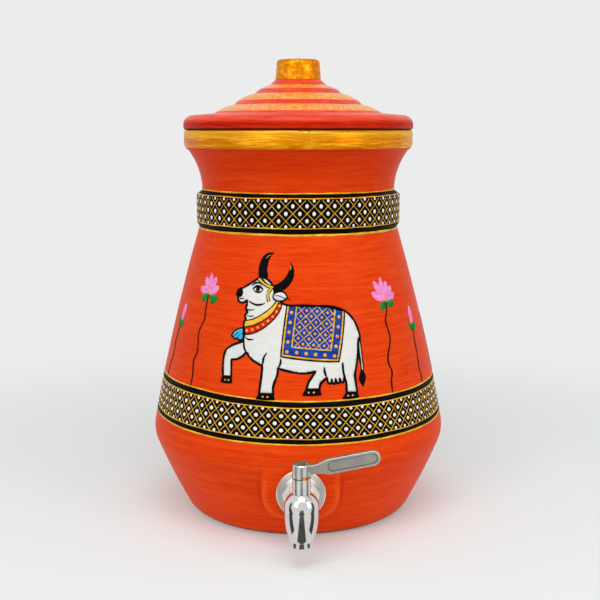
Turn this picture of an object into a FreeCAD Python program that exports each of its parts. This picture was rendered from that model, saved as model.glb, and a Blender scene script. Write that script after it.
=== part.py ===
import FreeCAD, Part
import math
import os
import Sketcher
from FreeCAD import Vector

# Clay water pot with a lid and a quarter-turn lever tap, built as separate pieces.
# The pot stands on the XY plane with its axis on Z. The tap points along -Y, towards the
# person who fills a glass, and its lever points along +X when the tap is shut.
# All sizes are in millimetres.

doc = FreeCAD.newDocument("clay_pot_with_tap")
sheet = doc.addObject("Spreadsheet::Sheet", "Sizes")

# Name, value and meaning of each driving dimension
SIZES = [
    # Pot, outside
    ("pot_height", 339.0, "floor to the top of the rim"),
    ("foot_radius", 94.0, "circle that stands on the floor"),
    ("foot_height", 9.0, "top of the rounded foot edge"),
    ("foot_flare", 10.0, "how far the foot edge runs outwards"),
    ("foot_round", 14.0, "radius of the foot edge"),
    ("bowl_bulge", 540.0, "radius of the nearly straight bowl wall"),
    ("belly_radius", 131.5, "widest circle of the pot"),
    ("belly_height", 75.0, "height of the widest circle"),
    ("belly_drop", 12.0, "widest circle down to the bowl wall"),
    ("belly_rise", 6.0, "widest circle up to the body wall"),
    ("belly_round", 30.0, "radius of the belly"),
    ("body_bulge", 1780.0, "radius of the nearly straight body wall"),
    ("collar_low", 255.0, "lower edge of the raised collar"),
    ("collar_width", 31.5, "height of the raised collar"),
    ("collar_relief", 5.0, "how far the collar stands out from the neck"),
    ("collar_bevel", 3.5, "height of the collar's sloping edges"),
    ("shoulder_radius", 88.3, "body wall where it meets the collar"),
    ("neck_radius", 85.4, "narrowest circle of the neck"),
    ("neck_cove", 60.0, "radius of the hollow curve under the rim"),
    ("rim_radius", 101.0, "outside of the rim"),
    ("rim_depth", 17.5, "height of the rim bead"),
    ("rim_undercut", 4.0, "how far the bead stands out from the neck"),
    ("rim_swell", 5.5, "height over which the bead swells out"),
    ("rim_edge", 2.5, "rounding of the bead's top edge"),
    # Pot, inside
    ("wall", 8.5, "thickness of the clay wall"),
    ("floor_thickness", 10.0, "thickness of the pot's floor"),
    ("rim_wall", 12.0, "thickness of the rim"),
    ("mouth_depth", 18.0, "straight part of the mouth"),
    # Upright seat for the tap, a curved apron that runs down from the belly
    ("tap_height", 50.1, "floor to the axis of the tap's shank"),
    ("seat_inset", 0.3, "how far the seat's curved face lies inside the belly"),
    ("seat_half_width", 32.0, "half the width of the seat"),
    ("seat_corner", 19.5, "corner radius of the seat's outline"),
    ("seat_low", 26.0, "floor to the foot of the seat"),
    ("seat_high", 76.0, "floor to the top of the seat, inside the belly"),
    ("seat_edge", 4.5, "rounding of the seat's front edge"),
    ("seat_depth", 45.0, "how far the seat's clay runs back"),
    ("seat_spare", 6.0, "clay that is turned off in front of the seat"),
    ("clay_at_tap", 24.7, "clay between the seat and the pad inside"),
    ("pad_radius", 19.0, "pad inside the pot for the nut"),
    ("pad_cover", 5.0, "clay left in front of that pad"),
    ("pad_trim", 1.0, "room cut round the seal on that pad"),
    # Lid
    ("lid_overhang", 0.3, "how far the lid's rim stands out from the pot's"),
    ("lid_edge", 2.5, "rounding of the lid's lower edge"),
    ("lid_band", 3.0, "straight part of the lid's rim"),
    ("lid_shoulder", 8.5, "radius of the lid's upper edge"),
    ("lid_round", 8.3, "width of the lid's rounded upper edge"),
    ("ledge_height", 12.7, "height of the ledge at its outer circle"),
    ("rings_radius", 74.0, "foot of the lowest ring"),
    ("rings_height", 14.4, "height at the foot of the lowest ring"),
    ("ring_one_top", 57.0, "upper circle of the lowest ring"),
    ("ring_two_foot", 53.0, "foot of the middle ring"),
    ("ring_two_top", 38.3, "upper circle of the middle ring"),
    ("ring_three_foot", 35.0, "foot of the highest ring"),
    ("ring_three_top", 25.0, "upper circle of the highest ring"),
    ("ring_slope", 0.43, "climb of a ring for each step inwards"),
    ("riser_slope", 0.9, "climb of a riser for each step inwards"),
    ("ring_bulge", 42.0, "radius of a ring's rounded top"),
    ("knob_radius", 20.1, "knob at its foot"),
    ("knob_taper", 1.2, "how much narrower the knob's top is"),
    ("knob_height", 17.4, "height of the knob"),
    ("knob_edge", 3.0, "rounding of the knob's top"),
    ("lid_fit", 2.2, "gap between the lid's ring and the mouth"),
    ("spigot_depth", 12.0, "how far the lid's ring drops into the mouth"),
    ("spigot_width", 7.0, "thickness of that ring"),
    ("hollow_low", 3.0, "height of the hollow at the ring"),
    ("hollow_high", 33.0, "height of the hollow in the middle"),
    ("hollow_radius", 18.0, "flat part of the hollow"),
    # Tap body
    ("spout_reach", 30.8, "seat's face to the spout's axis"),
    ("spout_drop", 31.4, "shank axis to the spout's mouth"),
    ("spout_radius", 9.1, "outside of the spout's mouth"),
    ("spout_lip", 4.0, "straight part above the spout's mouth"),
    ("vase_radius", 13.6, "widest part of the vase"),
    ("vase_drop", 2.0, "shank axis down to the widest part"),
    ("vase_side", 60.0, "radius of the vase's long side"),
    ("vase_shoulder", 13.0, "radius of the vase's shoulder"),
    ("vase_top", 11.1, "shank axis up to the vase's top"),
    ("vase_top_radius", 7.6, "outside of the vase's top"),
    ("plug_bore", 5.5, "radius of the bore that the plug turns in"),
    ("plug_foot", 6.5, "shank axis down to the foot of the plug"),
    ("plug_shoulder", 5.0, "shank axis up to the plug's shoulder"),
    ("end_play", 0.1, "gap along the axis where a piece may turn"),
    ("throat_radius", 4.4, "bore under the plug"),
    ("throat_low", 14.0, "shank axis down to the foot of the throat"),
    ("spout_bore", 7.3, "inside of the spout's mouth"),
    ("spout_bore_top", 22.0, "shank axis down to the top of the wide bore"),
    ("neck_of_shank", 9.6, "flare where it leaves the vase"),
    ("flare_radius", 15.0, "flare where it meets the flange"),
    ("flare_length", 12.0, "length of the flare"),
    ("flare_curve", 14.0, "radius of the flare's hollow curve"),
    ("flange_radius", 20.0, "flange that presses on the pot"),
    ("flange_thickness", 2.8, "thickness of the flange"),
    ("flange_bevel", 0.8, "bevel on the flange's front edge"),
    ("shank_radius", 7.9, "threaded shank through the wall"),
    ("shank_length", 37.5, "flange to the end of the shank"),
    ("shank_bevel", 0.8, "bevel on the shank's end"),
    ("inlet_radius", 4.2, "water way in the shank"),
    ("hole_gap", 0.7, "gap between the shank and the hole in the clay"),
    # Shank fastening
    ("seal_crown", 1.0, "thinnest part of the seal under the flange"),
    ("seal_thickness", 2.0, "thickness of the seal inside the pot"),
    ("seal_radius", 18.5, "outside of the seal under the flange"),
    ("inner_seal_radius", 15.5, "outside of the seal inside the pot"),
    ("washer_thickness", 1.2, "thickness of the steel washer"),
    ("washer_radius", 14.5, "outside of the steel washer"),
    ("nut_flats", 24.0, "hexagon nut, across its flats"),
    ("nut_thickness", 7.0, "thickness of the nut"),
    ("nut_bevel", 1.2, "bevel that rounds the nut's corners"),
    ("thread_gap", 0.08, "gap between the shank and what is on it"),
    # Bonnet
    ("bonnet_radius", 7.3, "outside of the bonnet"),
    ("bonnet_top", 23.2, "shank axis up to the top of the bonnet"),
    ("bonnet_thread", 6.25, "thread that screws into the vase"),
    ("bonnet_bore", 4.05, "bore for the plug's stem"),
    ("bonnet_bevel", 0.4, "bevel on the bonnet's foot"),
    # Valve plug
    ("running_gap", 0.05, "gap between a turning piece and its bore"),
    ("port_radius", 3.4, "side port and hollow of the plug"),
    ("port_high", 4.0, "top of the plug's hollow"),
    ("stem_rise", 2.0, "stem above the bonnet, inside the cap"),
    ("drive_square", 5.0, "square that carries the lever"),
    ("drive_length", 5.4, "height of the square"),
    ("seat_seal_radius", 5.0, "outside of the rubber seat at the inlet"),
    ("seat_seal_length", 3.0, "length of the rubber seat"),
    ("ring_section", 0.75, "radius of a sealing ring's section"),
    ("ring_squeeze", 0.02, "gap left round a sealing ring"),
    ("ring_low", 9.2, "shank axis up to the lower sealing ring"),
    ("ring_high", 17.4, "shank axis up to the upper sealing ring"),
    # Lever
    ("cap_radius", 7.3, "outside of the lever's cap"),
    ("cap_height", 11.5, "height of the cap"),
    ("cap_bevel", 0.7, "bevel on the cap's top edge"),
    ("cap_web", 1.6, "metal under the screw's head"),
    ("well_radius", 5.0, "well in the cap's top"),
    ("drive_gap", 0.3, "gap above the square"),
    ("notch_height", 2.5, "height of the notch in the cap's foot"),
    ("notch_radius", 5.2, "inner circle of the notch"),
    ("lever_travel", 90.0, "angle the lever turns through, in degrees"),
    ("pin_angle", 10.0, "stop pin from the front, in degrees"),
    ("pin_play", 8.6, "half the notch's width at the pin, in degrees"),
    ("pin_circle", 6.2, "axis of the bonnet to the stop pin"),
    ("pin_radius", 0.8, "radius of the stop pin"),
    ("pin_rise", 2.1, "stop pin above the bonnet"),
    ("pin_root", 3.5, "stop pin inside the bonnet"),
    ("paddle_reach", 62.0, "spout axis to the paddle's tip"),
    ("paddle_width", 12.3, "width of the paddle"),
    ("throat_width", 7.4, "width of the paddle beside the cap"),
    ("throat_end", 12.0, "spout axis to the end of the narrow part"),
    ("paddle_start", 21.0, "spout axis to the full width"),
    ("paddle_thickness", 4.4, "thickness of the paddle"),
    ("paddle_tilt", 11.0, "climb of the paddle, in degrees"),
    ("paddle_rise", 5.2, "foot of the cap to the paddle's middle line"),
    ("paddle_edge", 0.7, "rounding of the paddle's edges"),
    ("panel_border", 2.0, "rim round the sunk panel"),
    ("panel_start", 20.5, "spout axis to the sunk panel"),
    ("panel_depth", 0.5, "depth of the sunk panel"),
    # Lever screw
    ("screw_head", 3.7, "head of the screw"),
    ("screw_head_height", 1.6, "height of the head"),
    ("screw_radius", 2.0, "shank of the screw"),
    ("screw_length", 8.0, "length of the shank"),
    ("socket_flats", 2.5, "hexagon socket, across its flats"),
    ("socket_depth", 1.1, "depth of the socket"),
]
for row, (name, value, meaning) in enumerate(SIZES, start=1):
    sheet.set(f"A{row}", name)
    sheet.set(f"B{row}", str(value))
    sheet.setAlias(f"B{row}", name)
    sheet.set(f"C{row}", meaning)
doc.recompute()


class Size:
    """A length worked out from the sheet: its value now, and the formula that binds it."""

    def __init__(self, value, text):
        self.value = float(value)
        self.text = text

    def _join(self, other, sign, result):
        return Size(result, f"({self.text} {sign} {other.text})")

    def __add__(self, other):
        other = as_size(other)
        return self._join(other, "+", self.value + other.value)

    def __sub__(self, other):
        other = as_size(other)
        return self._join(other, "-", self.value - other.value)

    def __rsub__(self, other):
        return as_size(other) - self

    def __mul__(self, other):
        other = as_size(other)
        return self._join(other, "*", self.value * other.value)

    def __truediv__(self, other):
        other = as_size(other)
        return self._join(other, "/", self.value / other.value)

    def __neg__(self):
        return Size(-self.value, f"-({self.text})")

    __radd__ = __add__
    __rmul__ = __mul__


def as_size(number):
    return number if isinstance(number, Size) else Size(number, f"{number}")


def cosine(angle):
    return Size(math.cos(math.radians(angle.value)), f"cos({angle.text} * 1 deg)")


def sine(angle):
    return Size(math.sin(math.radians(angle.value)), f"sin({angle.text} * 1 deg)")


class Sheet:
    """Gives each named cell of the sheet as a Size."""

    def __getattr__(self, name):
        return Size(getattr(sheet, name), f"Sizes.{name}")


size = Sheet()
ZERO = Size(0, "0")


# Sketches and features


def new_body(label):
    body = doc.addObject("PartDesign::Body", label)
    body.Label = label
    return body


def put_at(thing, x=ZERO, y=ZERO, z=ZERO):
    """Binds a piece's place to the sheet."""
    for axis, length in zip("xyz", (x, y, z)):
        thing.setExpression(f"Placement.Base.{axis}", length.text)
    doc.recompute()


def new_sketch(body, plane, name, out=ZERO, up=ZERO, tilt=None):
    """A sketch on one of the body's own planes, moved out along that plane's normal and up
    along its second axis, and tilted about the normal."""
    sketch = body.newObject("Sketcher::SketchObject", f"{body.Name}_{name}")
    origin = next(f for f in body.Origin.OriginFeatures if f.Role == plane)
    sketch.AttachmentSupport = (origin, [""])
    sketch.MapMode = "FlatFace"
    sketch.setExpression("AttachmentOffset.Base.z", out.text)
    sketch.setExpression("AttachmentOffset.Base.y", up.text)
    if tilt is not None:
        sketch.AttachmentOffset = FreeCAD.Placement(Vector(), Vector(0, 0, 1), tilt.value)
        sketch.setExpression("AttachmentOffset.Rotation.Angle", tilt.text)
    return sketch


def bind(sketch, kind, *where_and_value):
    """Adds one dimension to a sketch and ties it to its formula."""
    *where, length = where_and_value
    index = sketch.addConstraint(Sketcher.Constraint(kind, *where, length.value))
    sketch.setExpression(f"Constraints[{index}]", length.text)


def bind_corner(sketch, geometry, end, x, y):
    """Fixes a point by its distances from the sketch's origin."""
    for kind, length, axis in (("DistanceX", x, -2), ("DistanceY", y, -1)):
        if length.text == ZERO.text:
            sketch.addConstraint(Sketcher.Constraint("PointOnObject", geometry, end, axis))
        elif length.value > 0:
            bind(sketch, kind, -1, 1, geometry, end, length)
        else:
            bind(sketch, kind, geometry, end, -1, 1, -length)


def arc_between(start, end, radius, left):
    """The shorter arc from start to end; its middle lies left or right of the straight way."""
    chord = end - start
    side = Vector(-chord.y, chord.x, 0).normalize()
    if not left:
        side = -side
    height = math.sqrt(max(radius**2 - (chord.Length / 2) ** 2, 0))
    centre = (start + end) * 0.5 - side * height
    circle = Part.Circle(centre, Vector(0, 0, 1), radius)
    first, last = (end, start) if left else (start, end)
    angles = [math.atan2(p.y - centre.y, p.x - centre.x) for p in (first, last)]
    if angles[1] < angles[0]:
        angles[1] += 2 * math.pi
    return Part.ArcOfCircle(circle, angles[0], angles[1])


def draw_outline(sketch, corners):
    """A closed outline. A corner is (x, y), or (x, y, radius, side) after an arc that swells
    to the left or the right of the way from the corner before it."""
    points = [Vector(corner[0].value, corner[1].value, 0) for corner in corners]
    ends = []
    for index, corner in enumerate(corners):
        start, end = points[index - 1], points[index]
        if len(corner) == 2:
            geometry = sketch.addGeometry(Part.LineSegment(start, end), False)
            ends.append((geometry, 1, 2))
            continue
        left = corner[3] == "left"
        arc = arc_between(start, end, corner[2].value, left)
        geometry = sketch.addGeometry(arc, False)
        # An arc runs anticlockwise, so one that swells to the left starts at its far end
        ends.append((geometry, 2, 1) if left else (geometry, 1, 2))
    for index in range(len(corners)):
        before, here = ends[index - 1], ends[index]
        joint = Sketcher.Constraint("Coincident", before[0], before[2], here[0], here[1])
        sketch.addConstraint(joint)
    for corner, (geometry, _, last) in zip(corners, ends):
        bind_corner(sketch, geometry, last, corner[0], corner[1])
        if len(corner) == 4:
            bind(sketch, "Radius", geometry, corner[2])


def draw_circle(sketch, x, y, radius):
    circle = Part.Circle(Vector(x.value, y.value, 0), Vector(0, 0, 1), radius.value)
    geometry = sketch.addGeometry(circle, False)
    bind_corner(sketch, geometry, 3, x, y)
    bind(sketch, "Radius", geometry, radius)


def turned(body, kind, name, corners, plane="XZ_Plane", axis="V_Axis"):
    """A Revolution or a Groove of one outline, all the way round."""
    sketch = new_sketch(body, plane, f"{name}_outline")
    draw_outline(sketch, corners)
    feature = body.newObject(f"PartDesign::{kind}", f"{body.Name}_{name}")
    feature.Profile = sketch
    feature.ReferenceAxis = (sketch, [axis])
    feature.Angle = 360
    doc.recompute()
    return feature


def pushed(body, kind, name, sketch, length, reverse=False, both=False):
    """A Pad or a Pocket of one sketch."""
    feature = body.newObject(f"PartDesign::{kind}", f"{body.Name}_{name}")
    feature.Profile = sketch
    feature.setExpression("Length", length.text)
    feature.Reversed = reverse
    feature.Midplane = both
    doc.recompute()
    return feature


def rounded(body, name, radius, chosen, kind="Fillet"):
    """A Fillet or Chamfer on those edges of the body that chosen(edge) picks."""
    base = body.Tip
    names = [f"Edge{i}" for i, edge in enumerate(base.Shape.Edges, start=1) if chosen(edge)]
    feature = body.newObject(f"PartDesign::{kind}", f"{body.Name}_{name}")
    feature.Base = (base, names)
    feature.setExpression("Radius" if kind == "Fillet" else "Size", radius.text)
    doc.recompute()
    return feature


def ring_body(label, outer, inner, thickness):
    """A flat ring across Y, its near face on the body's origin, running towards +Y."""
    body = new_body(label)
    sketch = new_sketch(body, "XZ_Plane", "outline")
    draw_circle(sketch, ZERO, ZERO, outer)
    draw_circle(sketch, ZERO, ZERO, inner)
    pushed(body, "Pad", "ring", sketch, thickness, reverse=True)
    return body


def hexagon(flats):
    """Corners of a hexagon with two flats upright."""
    reach = flats / 2
    corner = flats / Size(math.sqrt(3), "sqrt(3)")
    return [
        (ZERO, corner),
        (-reach, corner / 2),
        (-reach, -corner / 2),
        (ZERO, -corner),
        (reach, -corner / 2),
        (reach, corner / 2),
    ]


# Pot

seat_radius = size.belly_radius - size.seat_inset
tap_reach = seat_radius + size.spout_reach
mouth_radius = size.rim_radius - size.rim_wall
lid_radius = size.rim_radius + size.lid_overhang
collar_high = size.collar_low + size.collar_width
bowl_top = size.belly_height - size.belly_drop
body_low = size.belly_height + size.belly_rise
bowl_top_radius = size.belly_radius - size.belly_drop * size.belly_drop / (size.belly_round * 2)
body_low_radius = size.belly_radius - size.belly_rise * size.belly_rise / (size.belly_round * 2)
rim_low = size.pot_height - size.rim_depth

pot_outside = [
    (ZERO, ZERO),
    (size.foot_radius, ZERO),
    (size.foot_radius + size.foot_flare, size.foot_height, size.foot_round, "right"),
    (bowl_top_radius, bowl_top, size.bowl_bulge, "right"),
    (body_low_radius, body_low, size.belly_round, "right"),
    (size.shoulder_radius, size.collar_low, size.body_bulge, "right"),
    (size.neck_radius + size.collar_relief, size.collar_low + size.collar_bevel),
    (size.neck_radius + size.collar_relief, collar_high - size.collar_bevel),
    (size.neck_radius, collar_high),
    (size.rim_radius - size.rim_undercut, rim_low, size.neck_cove, "left"),
    (size.rim_radius, rim_low + size.rim_swell, size.rim_swell * 1.25, "right"),
    (size.rim_radius, size.pot_height - size.rim_edge),
    (size.rim_radius - size.rim_edge, size.pot_height, size.rim_edge, "right"),
    (ZERO, size.pot_height),
]
pot_inside = [
    (ZERO, size.floor_thickness),
    (size.foot_radius, size.floor_thickness),
    (bowl_top_radius - size.wall, bowl_top, size.bowl_bulge, "right"),
    (body_low_radius - size.wall, body_low, size.belly_round - size.wall, "right"),
    (size.shoulder_radius - size.wall, size.collar_low, size.body_bulge, "right"),
    (size.neck_radius - size.wall, collar_high),
    (mouth_radius, size.pot_height - size.mouth_depth, size.neck_cove, "left"),
    (mouth_radius, size.pot_height),
    (ZERO, size.pot_height),
]
seat_side = size.seat_half_width - size.seat_corner
seat_outline = [
    (-size.seat_half_width, size.seat_high),
    (-size.seat_half_width, size.seat_low + size.seat_corner),
    (-seat_side, size.seat_low, size.seat_corner, "right"),
    (seat_side, size.seat_low),
    (size.seat_half_width, size.seat_low + size.seat_corner, size.seat_corner, "right"),
    (size.seat_half_width, size.seat_high),
]

seat_front = seat_radius + size.seat_spare
seat_waste = [
    (seat_radius, ZERO),
    (seat_front * 1.2, ZERO),
    (seat_front * 1.2, body_low),
    (seat_radius, body_low),
]


def lies_on_seat(edge):
    """Picks the edges round the seat's curved face, except the one inside the belly."""
    reaches = [math.hypot(vertex.X, vertex.Y) for vertex in edge.Vertexes]
    on_face = all(abs(reach - seat_radius.value) < 0.001 for reach in reaches)
    return on_face and edge.BoundBox.ZMin < size.seat_high.value - 1


pot_body = new_body("pot_body")
seat_sketch = new_sketch(pot_body, "XZ_Plane", "seat_outline", out=seat_front)
draw_outline(seat_sketch, seat_outline)
pushed(pot_body, "Pad", "seat", seat_sketch, size.seat_depth, reverse=True)
turned(pot_body, "Groove", "seat_face", seat_waste)
rounded(pot_body, "seat_edge", size.seat_edge, lies_on_seat)
turned(pot_body, "Revolution", "outside", pot_outside)
turned(pot_body, "Groove", "inside", pot_inside)
nut_face = seat_radius - size.clay_at_tap
pad_sketch = new_sketch(pot_body, "XZ_Plane", "nut_pad_outline", out=nut_face)
draw_circle(pad_sketch, ZERO, size.tap_height, size.pad_radius)
pushed(pot_body, "Pad", "nut_pad", pad_sketch, size.clay_at_tap - size.pad_cover)
trim_sketch = new_sketch(pot_body, "XZ_Plane", "nut_trim_outline", out=nut_face)
draw_circle(trim_sketch, ZERO, size.tap_height, size.inner_seal_radius + size.pad_trim)
pushed(pot_body, "Pocket", "nut_trim", trim_sketch, size.clay_at_tap)
hole_sketch = new_sketch(pot_body, "XZ_Plane", "tap_hole_outline", out=seat_front)
draw_circle(hole_sketch, ZERO, size.tap_height, size.shank_radius + size.hole_gap)
pushed(pot_body, "Pocket", "tap_hole", hole_sketch, size.seat_depth)

# Lid, drawn from the plane where it rests on the pot's rim

ring_one_high = size.rings_height + (size.rings_radius - size.ring_one_top) * size.ring_slope
ring_two_low = ring_one_high + (size.ring_one_top - size.ring_two_foot) * size.riser_slope
ring_two_high = ring_two_low + (size.ring_two_foot - size.ring_two_top) * size.ring_slope
ring_three_low = ring_two_high + (size.ring_two_top - size.ring_three_foot) * size.riser_slope
ring_three_high = ring_three_low + (size.ring_three_foot - size.ring_three_top) * size.ring_slope
knob_low = ring_three_high + (size.ring_three_top - size.knob_radius) * size.riser_slope
knob_high = knob_low + size.knob_height
knob_top_radius = size.knob_radius - size.knob_taper
spigot_radius = mouth_radius - size.lid_fit

lid_outline = [
    (ZERO, size.hollow_high),
    (size.hollow_radius, size.hollow_high),
    (spigot_radius - size.spigot_width, size.hollow_low),
    (spigot_radius - size.spigot_width, -size.spigot_depth),
    (spigot_radius, -size.spigot_depth),
    (spigot_radius, ZERO),
    (lid_radius - size.lid_edge, ZERO),
    (lid_radius, size.lid_edge, size.lid_edge, "right"),
    (lid_radius, size.lid_edge + size.lid_band),
    (lid_radius - size.lid_round, size.ledge_height, size.lid_shoulder, "right"),
    (size.rings_radius, size.rings_height),
    (size.ring_one_top, ring_one_high, size.ring_bulge, "right"),
    (size.ring_two_foot, ring_two_low),
    (size.ring_two_top, ring_two_high, size.ring_bulge, "right"),
    (size.ring_three_foot, ring_three_low),
    (size.ring_three_top, ring_three_high, size.ring_bulge, "right"),
    (size.knob_radius, knob_low),
    (knob_top_radius, knob_high - size.knob_edge),
    (knob_top_radius - size.knob_edge, knob_high, size.knob_edge, "right"),
    (ZERO, knob_high),
]
lid = new_body("lid")
turned(lid, "Revolution", "shell", lid_outline)
put_at(lid, z=size.pot_height)

# Tap body, drawn from the point where the spout's axis crosses the shank's axis

flange_front = tap_reach - seat_radius - size.seal_crown - size.flange_thickness
flange_back = flange_front + size.flange_thickness
shank_end = flange_back + size.shank_length
flare_start = flange_front - size.flare_length

vase_outline = [
    (ZERO, -size.spout_drop),
    (size.spout_radius, -size.spout_drop),
    (size.spout_radius, size.spout_lip - size.spout_drop),
    (size.vase_radius, -size.vase_drop, size.vase_side, "right"),
    (size.vase_top_radius, size.vase_top, size.vase_shoulder, "right"),
    (ZERO, size.vase_top),
]
shank_outline = [
    (ZERO, ZERO),
    (ZERO, size.neck_of_shank),
    (flare_start, size.neck_of_shank),
    (flange_front, size.flare_radius, size.flare_curve, "right"),
    (flange_front, size.flange_radius - size.flange_bevel),
    (flange_front + size.flange_bevel, size.flange_radius),
    (flange_back, size.flange_radius),
    (flange_back, size.shank_radius),
    (shank_end - size.shank_bevel, size.shank_radius),
    (shank_end, size.shank_radius - size.shank_bevel),
    (shank_end, ZERO),
]
plug_bore_low = size.plug_foot + size.end_play
bonnet_foot = size.plug_shoulder + size.end_play
valve_bore = [
    (ZERO, -size.spout_drop),
    (size.spout_bore, -size.spout_drop),
    (size.spout_bore, -size.spout_bore_top),
    (size.throat_radius, -size.throat_low),
    (size.throat_radius, -plug_bore_low),
    (size.plug_bore, -plug_bore_low),
    (size.plug_bore, bonnet_foot),
    (size.bonnet_thread + size.thread_gap, bonnet_foot),
    (size.bonnet_thread + size.thread_gap, size.vase_top),
    (ZERO, size.vase_top),
]
seat_seal_end = size.plug_bore + size.seat_seal_length
inlet_bore = [
    (ZERO, ZERO),
    (ZERO, size.seat_seal_radius),
    (seat_seal_end, size.seat_seal_radius),
    (seat_seal_end, size.inlet_radius),
    (shank_end, size.inlet_radius),
    (shank_end, ZERO),
]
tap_body = new_body("tap_body")
turned(tap_body, "Revolution", "vase", vase_outline)
turned(tap_body, "Revolution", "shank", shank_outline, "YZ_Plane", "H_Axis")
turned(tap_body, "Groove", "valve_bore", valve_bore)
turned(tap_body, "Groove", "inlet_bore", inlet_bore, "YZ_Plane", "H_Axis")


def put_on_tap(body, up=ZERO, back=ZERO):
    """Places a piece from the crossing of the tap's axes, moved up and back towards the pot."""
    put_at(body, y=back - tap_reach, z=size.tap_height + up)


put_on_tap(tap_body)

# Seals, washer and nut on the shank

shank_bore = size.shank_radius + size.thread_gap
seal_reach = seat_radius + size.seal_crown
outer_seal = ring_body("outer_seal", size.seal_radius, shank_bore, size.seal_crown * 4)
curve_sketch = new_sketch(outer_seal, "XY_Plane", "seat_curve")
draw_circle(curve_sketch, ZERO, seal_reach, seat_radius)
pushed(outer_seal, "Pocket", "curved_back", curve_sketch, size.seal_radius * 3, both=True)
put_at(outer_seal, y=-seal_reach, z=size.tap_height)
inner_seal = ring_body("inner_seal", size.inner_seal_radius, shank_bore, size.seal_thickness)
put_at(inner_seal, y=-nut_face, z=size.tap_height)
washer_place = nut_face - size.seal_thickness
washer = ring_body("steel_washer", size.washer_radius, shank_bore, size.washer_thickness)
put_at(washer, y=-washer_place, z=size.tap_height)
nut_place = washer_place - size.washer_thickness

lock_nut = new_body("lock_nut")
nut_sketch = new_sketch(lock_nut, "XZ_Plane", "outline")
draw_outline(nut_sketch, hexagon(size.nut_flats))
draw_circle(nut_sketch, ZERO, ZERO, shank_bore)
pushed(lock_nut, "Pad", "hexagon", nut_sketch, size.nut_thickness, reverse=True)
nut_corner = size.nut_flats / Size(math.sqrt(3), "sqrt(3)")
nut_cone = [
    (size.nut_thickness - size.nut_bevel, nut_corner + 0.2),
    (size.nut_thickness, nut_corner - size.nut_bevel * 1.5),
    (size.nut_thickness + 1, nut_corner - size.nut_bevel * 1.5),
    (size.nut_thickness + 1, nut_corner + 0.2),
]
turned(lock_nut, "Groove", "corner_bevel", nut_cone, "YZ_Plane", "H_Axis")
put_at(lock_nut, y=-nut_place, z=size.tap_height)

# Bonnet that holds the plug down, with the stop pin in its top face

stop_direction = size.pin_angle - 90
pin_x = size.pin_circle * cosine(stop_direction)
pin_y = size.pin_circle * sine(stop_direction)

bonnet_outline = [
    (size.bonnet_bore, bonnet_foot),
    (size.bonnet_thread, bonnet_foot),
    (size.bonnet_thread, size.vase_top),
    (size.bonnet_radius - size.bonnet_bevel, size.vase_top),
    (size.bonnet_radius, size.vase_top + size.bonnet_bevel),
    (size.bonnet_radius, size.bonnet_top),
    (size.bonnet_bore, size.bonnet_top),
]
bonnet = new_body("bonnet")
turned(bonnet, "Revolution", "shell", bonnet_outline)
pin_sketch = new_sketch(bonnet, "XY_Plane", "pin_hole_outline", out=size.bonnet_top)
draw_circle(pin_sketch, pin_x, pin_y, size.pin_radius + size.ring_squeeze)
pushed(bonnet, "Pocket", "pin_hole", pin_sketch, size.pin_root)
put_on_tap(bonnet)

stop_pin = new_body("stop_pin")
dowel_sketch = new_sketch(stop_pin, "XY_Plane", "outline", out=-size.pin_root)
draw_circle(dowel_sketch, pin_x, pin_y, size.pin_radius)
pushed(stop_pin, "Pad", "dowel", dowel_sketch, size.pin_root + size.pin_rise)
put_on_tap(stop_pin, up=size.bonnet_top)

# Valve plug with its seals

stem_radius = size.bonnet_bore - size.running_gap
plug_radius = size.plug_bore - size.running_gap
ring_circle = size.bonnet_bore - size.ring_section - size.ring_squeeze
groove_floor = ring_circle - size.ring_section - size.ring_squeeze
groove_half = size.ring_section + size.ring_squeeze * 2
stem_high = size.bonnet_top + size.stem_rise

plug_outline = [
    (size.port_radius, -size.plug_foot),
    (plug_radius, -size.plug_foot),
    (plug_radius, size.plug_shoulder),
    (stem_radius, size.plug_shoulder),
    (stem_radius, size.ring_low - groove_half),
    (groove_floor, size.ring_low - groove_half),
    (groove_floor, size.ring_low + groove_half),
    (stem_radius, size.ring_low + groove_half),
    (stem_radius, size.ring_high - groove_half),
    (groove_floor, size.ring_high - groove_half),
    (groove_floor, size.ring_high + groove_half),
    (stem_radius, size.ring_high + groove_half),
    (stem_radius, stem_high),
    (ZERO, stem_high),
    (ZERO, size.port_high),
    (size.port_radius, size.port_high),
]
valve_plug = new_body("valve_plug")
turned(valve_plug, "Revolution", "core", plug_outline)
half_square = size.drive_square / 2
drive_sketch = new_sketch(valve_plug, "XY_Plane", "drive_outline", out=stem_high)
square = [
    (half_square, -half_square),
    (half_square, half_square),
    (-half_square, half_square),
    (-half_square, -half_square),
]
draw_outline(drive_sketch, square)
pushed(valve_plug, "Pad", "drive", drive_sketch, size.drive_length)
port_sketch = new_sketch(valve_plug, "YZ_Plane", "port_outline")
draw_circle(port_sketch, ZERO, ZERO, size.port_radius)
pushed(valve_plug, "Pocket", "port", port_sketch, plug_radius + 1)
drive_high = stem_high + size.drive_length
screw_hole_sketch = new_sketch(valve_plug, "XY_Plane", "screw_hole_outline", out=drive_high)
draw_circle(screw_hole_sketch, ZERO, ZERO, size.screw_radius + size.thread_gap)
pushed(valve_plug, "Pocket", "screw_hole", screw_hole_sketch, size.screw_length)
put_on_tap(valve_plug)


def sealing_ring(label, height):
    """A round rubber ring in one groove of the stem."""
    ring = doc.addObject("Part::Torus", label)
    ring.Label = label
    ring.setExpression("Radius1", ring_circle.text)
    ring.setExpression("Radius2", size.ring_section.text)
    put_on_tap(ring, up=height)
    return ring


lower_o_ring = sealing_ring("lower_o_ring", size.ring_low)
upper_o_ring = sealing_ring("upper_o_ring", size.ring_high)

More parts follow.
